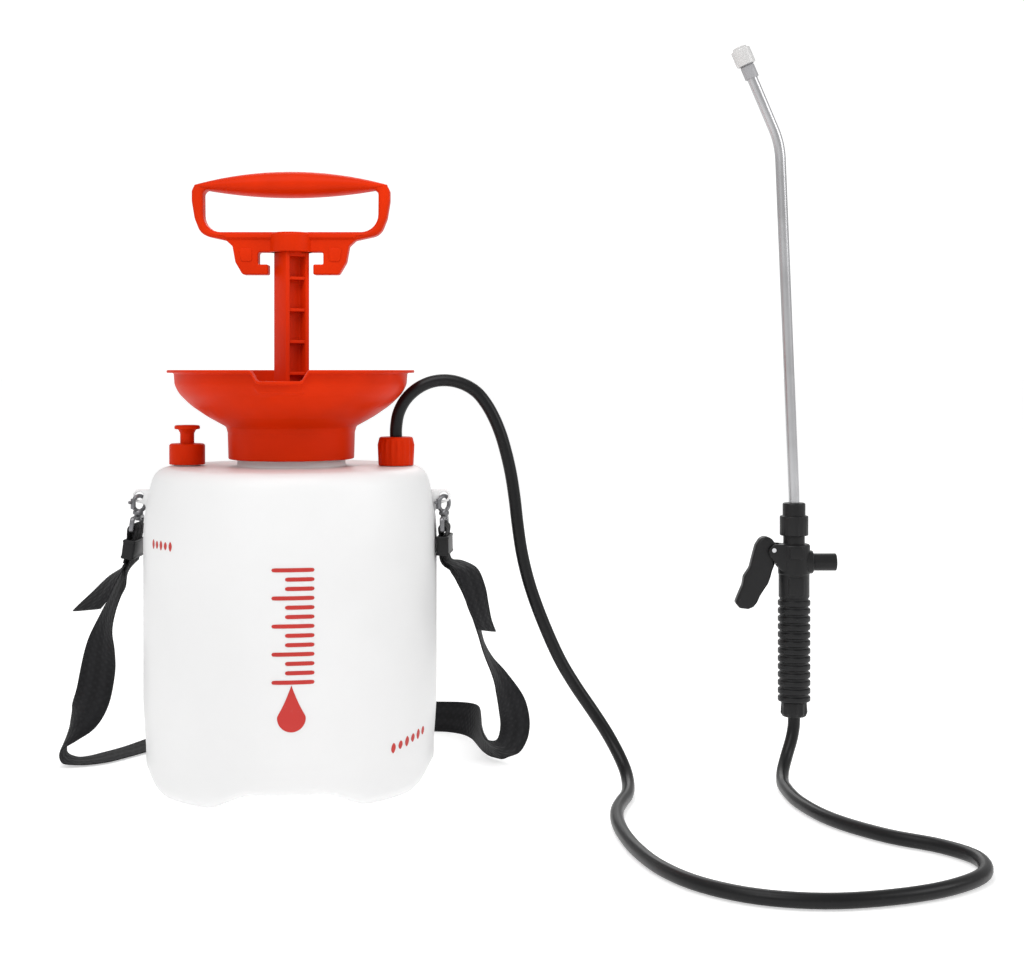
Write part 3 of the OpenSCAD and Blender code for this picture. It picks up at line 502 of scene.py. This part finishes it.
def strap_mesh():
    """The webbing and its length in metres, with a flat map of it in metres for the weave."""
    rows = spline(strap_rows, 6)
    pos = [Vector(r[:3]) for r in rows]
    n, across, half = len(pos), 10, 12.45        # half: a little under half of the width, for the round edges
    verts, uvs, section = [], [], []
    for k in range(across + 1):
        u = -1 + 2 * k / across
        section.append((u * half, 0.78 - 0.35 * abs(u) ** 6))
    outline = [(u, h) for u, h in section] + [(u, -h) for u, h in section[::-1]]
    m, line = len(outline), 0.0
    total = sum((a - b).length for a, b in zip(pos, pos[1:]))
    for i in range(n):
        t = (pos[min(i + 1, n - 1)] - pos[max(i - 1, 0)]).normalized()
        w = Vector(rows[i][3:])
        w = (w - w.dot(t) * t).normalized()
        nn = t.cross(w)
        if i:
            line += (pos[i] - pos[i - 1]).length
        # both tails' ends are cut on the slant
        start = 0.55 * max(0.0, 1 - line / 26) ** 1.5
        end = 0.27 * max(0.0, 1 - (total - line) / 24) ** 1.5
        for u, h in outline:
            verts.append(pos[i] + w * u + nn * h - t * (u * start + (u + half) * end))
            uvs.append((u * MM, line * MM))
    faces = []
    for i in range(n - 1):
        for k in range(m):
            faces.append([i * m + k, i * m + (k + 1) % m, (i + 1) * m + (k + 1) % m, (i + 1) * m + k])
    for base in (0, (n - 1) * m):       # the two ends
        for k in range(across):
            faces.append([base + k, base + k + 1, base + m - 2 - k, base + m - 1 - k])
    me = mesh_of([(verts, faces)])
    layer = me.uv_layers.new(name="weave")
    for loop in me.loops:
        layer.data[loop.index].uv = uvs[loop.vertex_index]
    return me, line * MM


strap_me, strap_length = strap_mesh()
strap = piece("strap_webbing", strap_me, WEB, "base", ["strap"], smooth=50)


# ------------------------------------------------------------------ strap hooks and keepers
def rect(x0, y0, x1, y1, r):
    return fillet([(x0, y0, r), (x1, y0, r), (x1, y1, r), (x0, y1, r)], 4)


def circle(x, y, r, n=32):
    return [(x + r * cos(2 * pi * k / n), y + r * sin(2 * pi * k / n)) for k in range(n)]


def torus(ring_r, wire_r):
    return lathe(circle(ring_r, 0, wire_r, 20), 64)


for side, word in ((-1, "left"), (1, "right")):
    lean = math.degrees(math.atan(LEAN[side]))
    tilt = R(-side * TURN[side], "Z") @ R(-side * lean, "Y")
    ring_at = T(side * EAR_X, 0, LEAN_TOP)
    hang = ring_at @ tilt @ T(0, 0, -LEAN_TOP)
    loop = slab([rect(-15, LOOP_Z, 15, LOOP_Z + 10.6, 2.8),
                 rect(-12.9, LOOP_Z + 2.4, 12.9, LOOP_Z + 8.2, 1.6)], 3.2, 1.0)
    swivel = lathe(fillet([(0, 177.4), (3.2, 177.4, 0.6), (3.2, 178.6, 0.5), (2.3, 178.8), (2.3, 180.9),
                           (3.5, 181.3, 0.5), (3.5, 183.2, 0.8), (2.6, 184.4, 0.6), (0, 184.8)]), 40)
    hook = ring_at @ R(-40, "Z") @ R(90, "Y")
    gate = lathe(fillet([(0, -3.6), (1.75, -3.6, 0.5), (1.75, 3.6, 0.5), (0, 3.6)]), 24)
    thumb = lathe(fillet([(0, 0), (1.1, 0, 0.2), (1.1, 2.6, 0.8), (0, 2.6)]), 16)
    parts = [move(loop, hang @ R(90, "Z") @ XZ), move(swivel, hang), move(torus(RING_R, 1.4), hook),
             move(gate, hook @ T(0, -RING_R, 0) @ R(90, "Y")),
             move(thumb, hook @ T(-1, -RING_R - 1.2, 0) @ R(90, "X"))]
    piece("snap_hook_" + word, mesh_of(parts), PLATED, "base", ["strap_hook_" + word])
    keeper = slab([rect(-4.2, -15, 4.2, 15, 1.5), rect(-3.2, -12.9, -1, 12.9, 0.4), rect(1, -12.9, 3.2, 12.9, 0.4)],
                  13, 0.45)
    lips = [slab([rect(-4.5, -15.3, 4.5, 15.3, 1.6), rect(-3.4, -13.1, 3.4, 13.1, 0.8)], 1.6, 0.4, T(0, 0, z))
            for z in (-5.4, 5.4)]
    keeper_at = T(*end_point(side, 0, KEEPER_Z[side])) @ tilt
    piece("keeper_" + word, mesh_of([move(q, keeper_at) for q in [keeper] + lips]), BLACK, "base",
          ["slider_" + word])

# ------------------------------------------------------------------ tank
ARCH_FLAT, ARCH_SLOPE, ARCH_LIFT = 21, 33, 10.5      # half width of the flat, run of the slope, height
ARCH_FADE = 42           # above this height the arches leave no trace
CORNER_R, CORNER_X = 8, 90                           # the rounded edge at the bottom
DOME_X, DOME_Z, DOME_R = -50, 165, 150               # the shoulder's arc
BRIM_X, BRIM_Z, BRIM_R = 82.66, 203, 12              # the arc from the shoulder to the flat top
WALL_T = 2.6


def arch(u):
    return 1 - smooth01((abs(u) - ARCH_FLAT) / ARCH_SLOPE)


def over_arches(x, y, z):
    """Lifts the lower part of the shell over the two crossed arches."""
    if z >= ARCH_FADE:
        return x, y, z
    a = arch(x * cos(FOOT_TURN) + y * sin(FOOT_TURN))
    b = arch(-x * sin(FOOT_TURN) + y * cos(FOOT_TURN))
    return x, y, z + ARCH_LIFT * (1 - (1 - a) * (1 - b)) * (1 - z / ARCH_FADE)


def wall_r(z):
    """The tank's wall draws in a little above its bottom corner."""
    return TANK_R - 2 + 2 * min(1.0, max(0.0, (z - 22) / 36))


def arc(cx, cz, r, a0, a1, n):
    angles = [radians(a0 + (a1 - a0) * k / n) for k in range(n + 1)]
    return [(cx + r * cos(a), cz + r * sin(a)) for a in angles]


def shell(t):
    """The tank's half profile from the axis at the bottom to the flat top, moved inwards by t."""
    low = [(0, t)] + [(r, t) for r in range(6, CORNER_X, 4)] + arc(CORNER_X, CORNER_R, CORNER_R - t, -90, 0, 8)
    heights = (11, 14, 17, 20, 22, 25, 28, 31, 34, 37, 40, 43, 46, 50, 54, 58, 62, 80, 100, 120, 140, 160)
    wall = [(wall_r(z) - t, z) for z in heights]
    dome = arc(DOME_X, DOME_Z, DOME_R - t, 0, 15.985, 10)
    brim = arc(BRIM_X, BRIM_Z, BRIM_R - t, 17, 90, 8)
    return low + wall + dome + brim


outer, inner = shell(0), shell(WALL_T)
neck = [(38.5, 215), (37.4, 215.4), (37, 216.5), (37, 223), (38.5, 224.2), (38.5, 225.6), (37, 226.8), (37, 229),
        (38.5, 230.2), (38.5, 231.6), (37, 232.8), (37, 235.2), (36.2, 236), (34.8, 236), (34, 235.2), (34, 212.4)]
tank_parts = [lathe(outer + neck + inner[::-1], 256, over_arches)]
for side in (-1, 1):
    boss = lathe(fillet([(6.5, 213), (9, 213), (9, 215.5), (9, 220, 0.6), (6.5, 220, 0.6)]), 48)
    tank_parts.append(move(boss, T(side * PORT_X)))
    ear = [(EAR_X + 4.6 * sin(radians(a)), EAR_Z + 4.6 * cos(radians(a))) for a in range(0, 181, 10)] + [
        (101.5, 188.4), (97.5, 181), (94.6, 177.6), (90, 177.6), (88, 186), (88, 198.8), (97, 198.8)]
    if side < 0:
        ear = [(-x, z) for x, z in ear[::-1]]
    tank_parts.append(slab([ear, circle(side * EAR_X, EAR_Z, EAR_HOLE)], 2.4, 0.7, XZ))
piece("tank_shell", mesh_of(tank_parts), TANK, "base", ["tank"], smooth=35)


# ------------------------------------------------------------------ print on the tank
def decal(columns, rows=5):
    """A thin patch that follows the tank's wall, from columns of (distance round the wall, low z, high z)."""
    verts, faces = [], []
    for s, z0, z1 in columns:
        for lift in (0.16, -0.1):       # the print's face, just proud of the wall, and its back inside it
            for j in range(rows + 1):
                z = z0 + (z1 - z0) * j / rows
                r = wall_r(z) + lift
                verts.append((r * sin(s / TANK_R), -r * cos(s / TANK_R), z))
    n, m = len(columns), rows + 1
    for i in range(n - 1):
        a, b = 2 * m * i, 2 * m * (i + 1)
        for j in range(rows):
            faces += [[a + j, b + j, b + j + 1, a + j + 1], [a + m + j, a + m + j + 1, b + m + j + 1, b + m + j]]
        faces += [[a, a + m, b + m, b], [a + rows, b + rows, b + m + rows, a + m + rows]]
    for e in (0, 2 * m * (n - 1)):
        faces += [[e + j, e + j + 1, e + m + j + 1, e + m + j] for j in range(rows)]
    return verts, faces


def bar(s0, s1, z, h, slant=0.0):
    """A tick with round ends, from s0 to s1 round the wall, h high, rising by slant along the way."""
    n = 10
    cols = []
    for k in range(n + 1):
        u = 0.5 - 0.5 * cos(pi * k / n)
        s = s0 + (s1 - s0) * u
        d = min(s - s0, s1 - s)
        e = h / 2 * sqrt(max(0.04, 1 - max(0, 1 - d / (h / 2)) ** 2))
        cols.append((s, z - e + slant * (s - s0), z + e + slant * (s - s0)))
    return decal(cols)


def drop(s, z, a):
    """A drop of half width a."""
    cols = []
    for k in range(25):
        u = -cos(pi * k / 24) * 0.999
        e = sqrt(1 - u * u)
        cols.append((s + a * u, z - a * e, z + a * e * 0.55 + 1.75 * a * (1 - abs(u)) ** 1.6))
    return decal(cols)


marks = [drop(13, 61.5, 9)]
for k in range(13):     # a scale, every third tick long
    marks.append(bar(0.5 if k % 3 == 0 else 9, 27.5, 84 + 5.9 * k, 2.6))
marks += [bar(-100 + 5.6 * k, -96.8 + 5.6 * k, 166.7, 8 - 2 * (k % 2)) for k in range(5)]
marks += [bar(84 + 6.8 * k, 88 + 6.8 * k, 34.5 + 1.1 * k, 8 - 2 * (k % 2), 0.16) for k in range(6)]
piece("level_marks", mesh_of(marks), INK, "base", smooth=30)


# ------------------------------------------------------------------ funnel
def notch(x, y, z):
    """The pouring lip: the front of the rim dips."""
    a = math.atan2(x, -y) - radians(2)
    g = smooth01((19.5 - abs(sin(a)) * 84) / 5.5) if y < 0 else 0
    return x, y, z - 7.2 * g * smooth01((z - 262) / 15)


funnel = fillet([(31, 237.5, 0.5), (39.2, 237.5), (39.2, 220, 0.4), (43, 220, 1), (43.5, 238, 3), (44.6, 242.2, 3),
                 (56.8, 249, 60), (68.4, 257, 50), (76.3, 265, 26), (79.2, 271, 10), (79.8, 279, 1.2),
                 (84.5, 279, 0.7), (84.5, 281, 0.9), (77.8, 281, 1.5), (77.2, 271.6, 10), (74.6, 266.3, 26),
                 (67.2, 258.8, 40), (55.8, 250.9, 60), (43, 241, 3), (31, 241, 0.8)], 6)
piece("funnel_bowl", mesh_of([lathe(funnel, 288, notch)]), RED, "base", ["funnel"], smooth=38)

# ------------------------------------------------------------------ pump cap
cap = fillet([(24, 233), (30.6, 233, 0.6), (30.6, 243), (38, 243, 0.6), (38, 247, 1.3), (17, 247, 2), (14.8, 249, 2),
              (14.8, 264.5, 0.8), (13.2, 264.5, 0.5), (13.2, 243), (24, 243)])
cap_parts = [lathe(cap, 192, ring_knurl(12, 1.5, 242, 248, 0.8, 33))]
for s in (1, -1):       # on each side a locking lug, and a web that stiffens the tower
    out = [(21.4 * cos(radians(a)), s * 21.4 * sin(radians(a))) for a in range(66, 115, 4)][::s]
    cap_parts.append(slab([fillet([(s * 9, s * 12), *out, (-s * 9, s * 12)])], 5.5, 0.7, T(0, 0, 261.75)))
    web = slab([fillet([(13.6, 246), (13.6, 259.5), (20.5, 259.5, 1), (15.2, 249, 2)])], 2.2, 0.4, XZ)
    cap_parts.append(move(web, R(90 * s, "Z")))
piece("pump_cap_screw", mesh_of(cap_parts), RED, "pump", ["pump_cap"])

# ------------------------------------------------------------------ rod and handle
h_section = fillet([(-9, -9, 0.7), (-6, -9, 0.7), (-6, -1.5, 1), (6, -1.5, 1), (6, -9, 0.7), (9, -9, 0.7),
                    (9, 9, 0.7), (6, 9, 0.7), (6, 1.5, 1), (-6, 1.5, 1), (-6, 9, 0.7), (-9, 9, 0.7)], 3)
spin = R(36, "Z")
rod = [slab([h_section], 193.6, 0.4, spin @ T(0, 0, 265.2))]
for k in range(9):
    rod.append(slab([rect(-8, -8, 8, 8, 0.5)], 2.2, 0.4, spin @ T(0, 0, 169.6 + 21.8 * k)))
rod.append(slab([rect(-8.2, -8.2, 8.2, 8.2, 0.5)], 3, 0.4, spin @ T(0, 0, 360.5)))
rod.append(lathe(fillet([(0, 150.4), (5, 150.4, 0.6), (5, 169), (0, 169)]), 48))
rod.append(lathe(fillet([(0, 361), (8.5, 361), (8.5, 374, 0.5), (0, 374)]), 64))
piece("plunger_rod", mesh_of(rod), RED, "plunger_handle", ["rod"])

CROWN_R, CROWN_Z = 250, 167.2        # the arc of the handle's top edge: radius and height of its centre
GRIP_TOP_Z = 167.5                   # the same for the grip, a little higher
UNDER_R, UNDER_Z = 340, 739.6        # the arc under the grip, centred above it
GRIP_X = 66              # half the grip's length
crown = [(x, CROWN_Z + sqrt(CROWN_R ** 2 - x * x)) for x in range(64, -65, -8)]
frame_line = fillet([(-44, 370, 3), (44, 370, 3), (61.5, 373.8, 10), (66, 385, 14), (68, 397, 12), (68, 404, 3),
                     (66.5, 407.4, 3), *crown, (-66.5, 407.4, 3), (-68, 404, 3), (-68, 397, 12), (-66, 385, 14),
                     (-61.5, 373.8, 10)], 6)
window = fillet([(-60, 375.8, 12), (60, 375.8, 12), (60.3, 405, 4), (-60.3, 405, 4)], 8)
grip_rings = []
for k in range(49):
    x = -GRIP_X * cos(pi * k / 48)
    zt, zb = GRIP_TOP_Z + sqrt(CROWN_R ** 2 - x * x), UNDER_Z - sqrt(UNDER_R ** 2 - x * x)
    half_y = 6.4 + 7.4 * (1 - (x / GRIP_X) ** 2) ** 0.9
    ring = []
    for a in range(32):     # a slightly squared oval
        c, s = cos(2 * pi * a / 32), sin(2 * pi * a / 32)
        ring.append((x, half_y * math.copysign(abs(c) ** 0.85, c),
                     (zt + zb) / 2 + (zt - zb) / 2 * math.copysign(abs(s) ** 0.9, s)))
    grip_rings.append(ring)
hub_line = fillet([(-51, 374.8), (-44, 369.7, 3), (-40, 366, 2), (-38, 355, 3), (-33, 346.5, 2.2), (-15.5, 346.5, 1),
                   (-15.5, 353.5, 1), (-22.4, 353.5, 1), (-22.4, 362, 1.6), (22.4, 362, 1.6), (22.4, 353.5, 1),
                   (15.5, 353.5, 1), (15.5, 346.5, 1), (33, 346.5, 2.2), (38, 355, 3), (40, 366, 2), (44, 369.7, 3),
                   (51, 374.8)], 4)
pads = [fillet([(s * 26.5, 364.5, 1.5), (s * 35.5, 364.5, 1.5), (s * 33.8, 355.5, 1.5),
                (s * 26.5, 355.5, 1.5)][::s], 4) for s in (-1, 1)]
handle = [slab([frame_line, window], 14, 2.4, XZ, 4), loft(grip_rings),
          slab([hub_line], 11.9, 1.0, XZ),
          lathe(fillet([(0, 362), (15, 362, 0.8), (15, 375.5, 2.5), (0, 375.5)]), 96)]
for y in (-1, 1):       # two raised pads on the hub plate, and a rib along the frame
    for pad in pads:
        handle.append(slab([pad], 1.0, 0.35, T(0, y * 6.0, 0) @ XZ))
    handle.append(slab([fillet([(-44, 371.6, 1), (44, 371.6, 1), (47, 374.4, 1), (-47, 374.4, 1)])], 1.2, 0.4,
                       T(0, y * 7.0, 0) @ XZ))
piece("pump_handle", mesh_of(handle), RED, "plunger_handle", ["handle"], smooth=42)

# ------------------------------------------------------------------ ports on the tank's top
relief = fillet([(9.2, 216, 0.4), (12.2, 216, 0.6), (12.2, 230.4, 1.8), (5.2, 230.4, 0.4), (5.2, 228.4), (8.8, 228.4),
                 (8.8, 221), (9.2, 221)])
relief = lathe(relief, 216, ring_knurl(18, 0.55, 216.8, 228.6, 1, 10.5))
piece("relief_collar", mesh_of([move(relief, T(-PORT_X))]), RED, "base", ["relief_nut"])
knob = fillet([(0, 205), (4.4, 205, 0.3), (4.4, 206.5, 0.3), (2, 206.5), (2, 224), (6.6, 224, 0.2),
               (6.6, 225.2, 0.2), (4.8, 225.2), (4.8, 237.5, 3), (6.2, 240.2, 1.5), (8.7, 240.2, 0.8),
               (8.7, 243, 1.2), (5.5, 243, 1), (4.6, 242.3, 0.6), (0, 242.3)])
piece("relief_knob_pull", mesh_of([move(lathe(knob, 96), T(-PORT_X))]), RED, "relief_knob",
      ["relief_stem"])
outlet = fillet([(9.2, 215.4, 0.4), (12.1, 215.4, 0.6), (12.1, 229.5, 1), (11.6, 235, 1.6), (4.6, 235, 0.5),
                 (4.6, 223.5), (9.2, 223.5)])
outlet = lathe(outlet, 216, ring_knurl(18, 0.6, 216.4, 233, 1, 9.8))
piece("outlet_collar", mesh_of([move(outlet, T(PORT_X))]), RED, "base", ["outlet_nut"])

# ------------------------------------------------------------------ hand valve
WAND = T(WAND_X, 0, 0)
TO_X = T(0, 0, 148.6) @ R(90, "Y")       # turns what is drawn along Z onto the valve's axis, along X
RIB_R, GROOVE_R, PITCH = 11.2, 9.9, 5.5
body = [(5.05, 51, 0.3), (7.4, 51), (7.4, 53), (RIB_R, 53, 0.9), (RIB_R, 56.4, 0.9)]
z = 58.5
while z < 121:
    body += [(GROOVE_R, z - 1.9, 0.6), (GROOVE_R, z - 0.3, 0.6), (RIB_R, z, 0.9), (RIB_R, z + 3.3, 0.9)]
    z += PITCH
body += [(GROOVE_R, z - 1.9, 0.6), (GROOVE_R, z - 0.3, 0.5), (10.6, z, 0.6), (10.6, 140.4, 0.5), (11, 141, 0.4),
         (11, 161, 1.6), (7.4, 161.4, 0.5), (7.4, 176, 0.5), (3.75, 176), (3.75, 163), (5.05, 163)]
grip = [lathe(fillet(body, 4), 96),
        move(lathe(fillet([(5, 3), (8, 3), (8, 13, 1.2), (5, 13, 0.4)]), 72), TO_X)]
for y in (-7.3, 7.3):   # the trigger's two ears
    ear = fillet([(-4, 160.8), (-15, 161.6, 4), (-19, 157.5, 4), (-17.6, 153, 3), (-9.4, 143, 2), (-4, 143)])
    grip.append(slab([ear], 2.6, 0.7, T(0, y, 0) @ XZ))
for y in (-1, 1):       # flat pads on the housing and below it
    grip.append(slab([rect(-4.6, 151.5, 4.6, 159.5, 1.2)], 2.4, 0.6, T(0, y * 10.2, 0) @ XZ))
    grip.append(slab([rect(-5.2, 126, 5.2, 139, 1.5)], 2.4, 0.6, T(0, y * 9.6, 0) @ XZ))
piece("grip_body", mesh_of([move(q, WAND) for q in grip]), BLACK, "base", ["grip"], smooth=38)
lower = fillet([(4.5, 42.4, 0.5), (8.2, 42.4, 1.2), (8.8, 45, 1), (8.8, 52.6, 0.5), (7.5, 52.6), (7.5, 49.3),
                (4.5, 49.3)])
lower = lathe(lower, 144, ring_knurl(12, 0.55, 43.5, 52, 0.8, 8))
piece("grip_end_cap", mesh_of([move(lower, WAND)]), BLACK, "base", ["grip_cap"])
plug = fillet([(0, 29), (2.2, 29, 0.3), (2.2, 28.2, 0.3), (4.4, 28.2, 0.3), (4.4, 29, 0.3), (6, 29, 1), (6, 13, 0.4),
               (4.95, 13), (4.95, 10.2), (3.6, 10.2), (3.6, 15.5), (0, 15.5)])
plug = lathe(plug, 144, ring_knurl(12, 0.5, 14, 27.6, 0.8, 5.4))
piece("valve_end_cap", mesh_of([move(plug, WAND @ TO_X)]), BLACK, "base", ["valve_cap"])
nut = fillet([(7.55, 167, 0.3), (9.8, 167, 0.8), (9.8, 180.5, 0.9), (7.8, 180.7, 0.4), (7.8, 189.5, 1.3),
              (3.85, 189.5, 0.4), (3.85, 178.2), (7.55, 178.2)])
nut = lathe(nut, 216, ring_knurl(18, 0.7, 167.6, 179.8, 0.9, 8.6))
piece("lance_collar", mesh_of([move(nut, WAND)]), BLACK, "base", ["lance_nut"])
lever = fillet([(-11.6, 157.5, 3), (-13, 161.2, 3), (-15.8, 165, 3), (-20.5, 166.8, 4), (-24, 165, 4),
                (-27, 160.5, 6), (-29.3, 152, 8), (-31, 145, 6), (-35, 139, 4), (-36, 133, 5), (-39, 126, 5),
                (-41, 121, 2), (-38, 117.2, 2), (-32, 116.5, 2), (-28.5, 118, 3), (-26, 121, 4), (-24, 125.5, 5),
                (-21.5, 129.5, 6), (-18.4, 134, 6), (-16.9, 138, 5), (-15.6, 143, 5), (-14, 147, 3),
                (-13.95, 150.2, 2), (-12.4, 154, 3)], 4)
hole = circle(-15, 157.5, 1.55, 24)
piece("trigger_lever_arm", mesh_of([slab([lever, hole], 10.9, 2.0, WAND @ XZ, 4)]), BLACK, "trigger_lever",
      ["trigger"], smooth=42)

# ------------------------------------------------------------------ lance and nozzle
LANCE_BEND_R = 60
lance_pts, here, angle = [(0, 0, 164)], Vector((0, 0, 193)), 0.0
lance_pts.append(tuple(here))
for bend, leg in ((2.3, 230.9), (20.6, 52)):        # degrees of a bend and the straight after it
    steps = max(3, int(bend))
    for k in range(1, steps + 1):
        a0, a1 = radians(angle), radians(angle + bend * k / steps)
        lance_pts.append((here.x + LANCE_BEND_R * (cos(a1) - cos(a0)), 0,
                          here.z + LANCE_BEND_R * (sin(a1) - sin(a0))))
    angle += bend
    here = Vector(lance_pts[-1])
    for k in (1, 2, 3, 4):
        lance_pts.append(tuple(here + Vector((-sin(radians(angle)), 0, cos(radians(angle)))) * leg * k / 4))
    here = Vector(lance_pts[-1])
lance = tube_line("lance_line", [(x + WAND_X, y, z) for x, y, z in lance_pts], LANCE_R, 10, LANCE)
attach(lance, "lance")
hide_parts("lance_tube")
TIP = WAND @ T(*here) @ R(-angle, "Y")
base = lathe(fillet([(3.7, -14, 0.3), (4.9, -14, 1), (4.9, -5, 0.5), (4.4, -4.6), (4.4, 2, 0.4), (2.4, 2),
                     (2.4, 0), (3.7, 0)]), 144, ring_knurl(6, 0.5, -13, -6, 0.8, 4.6))
piece("nozzle_base", mesh_of([move(base, TIP)]), GREY, "lance", ["nozzle_body"])
tip = lathe(fillet([(0.8, 9.5, 0.2), (1.4, 9.5), (3.4, 9.1), (5, 9.5, 0.8), (5.2, 8, 0.5), (6.8, 7.6, 1.2),
                    (6.8, -4, 0.8), (5.35, -4, 0.2), (5.35, 5.9), (0.8, 5.9)]), 144,
            ring_knurl(12, 0.5, -3.2, 6.6, 0.8, 6))
piece("nozzle_cap_tip", mesh_of([move(tip, TIP)]), CLEAR, "nozzle_tip", ["nozzle_cap"])

# ------------------------------------------------------------------ floor, lights
bpy.ops.mesh.primitive_plane_add(size=60, location=(0, 20, -0.0003))
floor = bpy.context.object
floor.name = "floor"
fm = bpy.data.materials.new("floor")
fm.use_nodes = True
fp = fm.node_tree.nodes["Principled BSDF"]
fp.inputs["Base Color"].default_value = (0.8, 0.8, 0.8, 1)
fp.inputs["Roughness"].default_value = 0.9
fp.inputs["Emission Color"].default_value = (1, 1, 1, 1)
fp.inputs["Emission Strength"].default_value = 0.5
floor.data.materials.append(fm)

world = bpy.data.worlds.new("studio")
scene.world = world
world.use_nodes = True
wn = world.node_tree
bg = wn.nodes["Background"]
bg.inputs["Color"].default_value = (1, 1, 1, 1)
path = wn.nodes.new("ShaderNodeLightPath")
wn.links.new(spread(wn, path.outputs["Is Camera Ray"], (0, 1), (0.62, 1.1)), bg.inputs["Strength"])


def area(name, place, target, size, power):
    d = bpy.data.lights.new(name, "AREA")
    d.size = size
    d.energy = power
    o = bpy.data.objects.new(name, d)
    o.location = place
    o.rotation_euler = (Vector(target) - Vector(place)).to_track_quat("-Z", "Y").to_euler()
    scene.collection.objects.link(o)


area("key", (-0.7, -1.6, 1.5), (0.05, 0, 0.2), 0.9, 9)
area("side", (1.7, -0.6, 1.0), (0.1, 0, 0.2), 0.8, 6.5)
area("back", (0.2, 1.6, 1.3), (0.1, 0, 0.2), 1.2, 10)
area("top", (0.0, -0.32, 0.85), (0, 0, 0.15), 0.45, 1.9)
scene.view_settings.view_transform = "Standard"
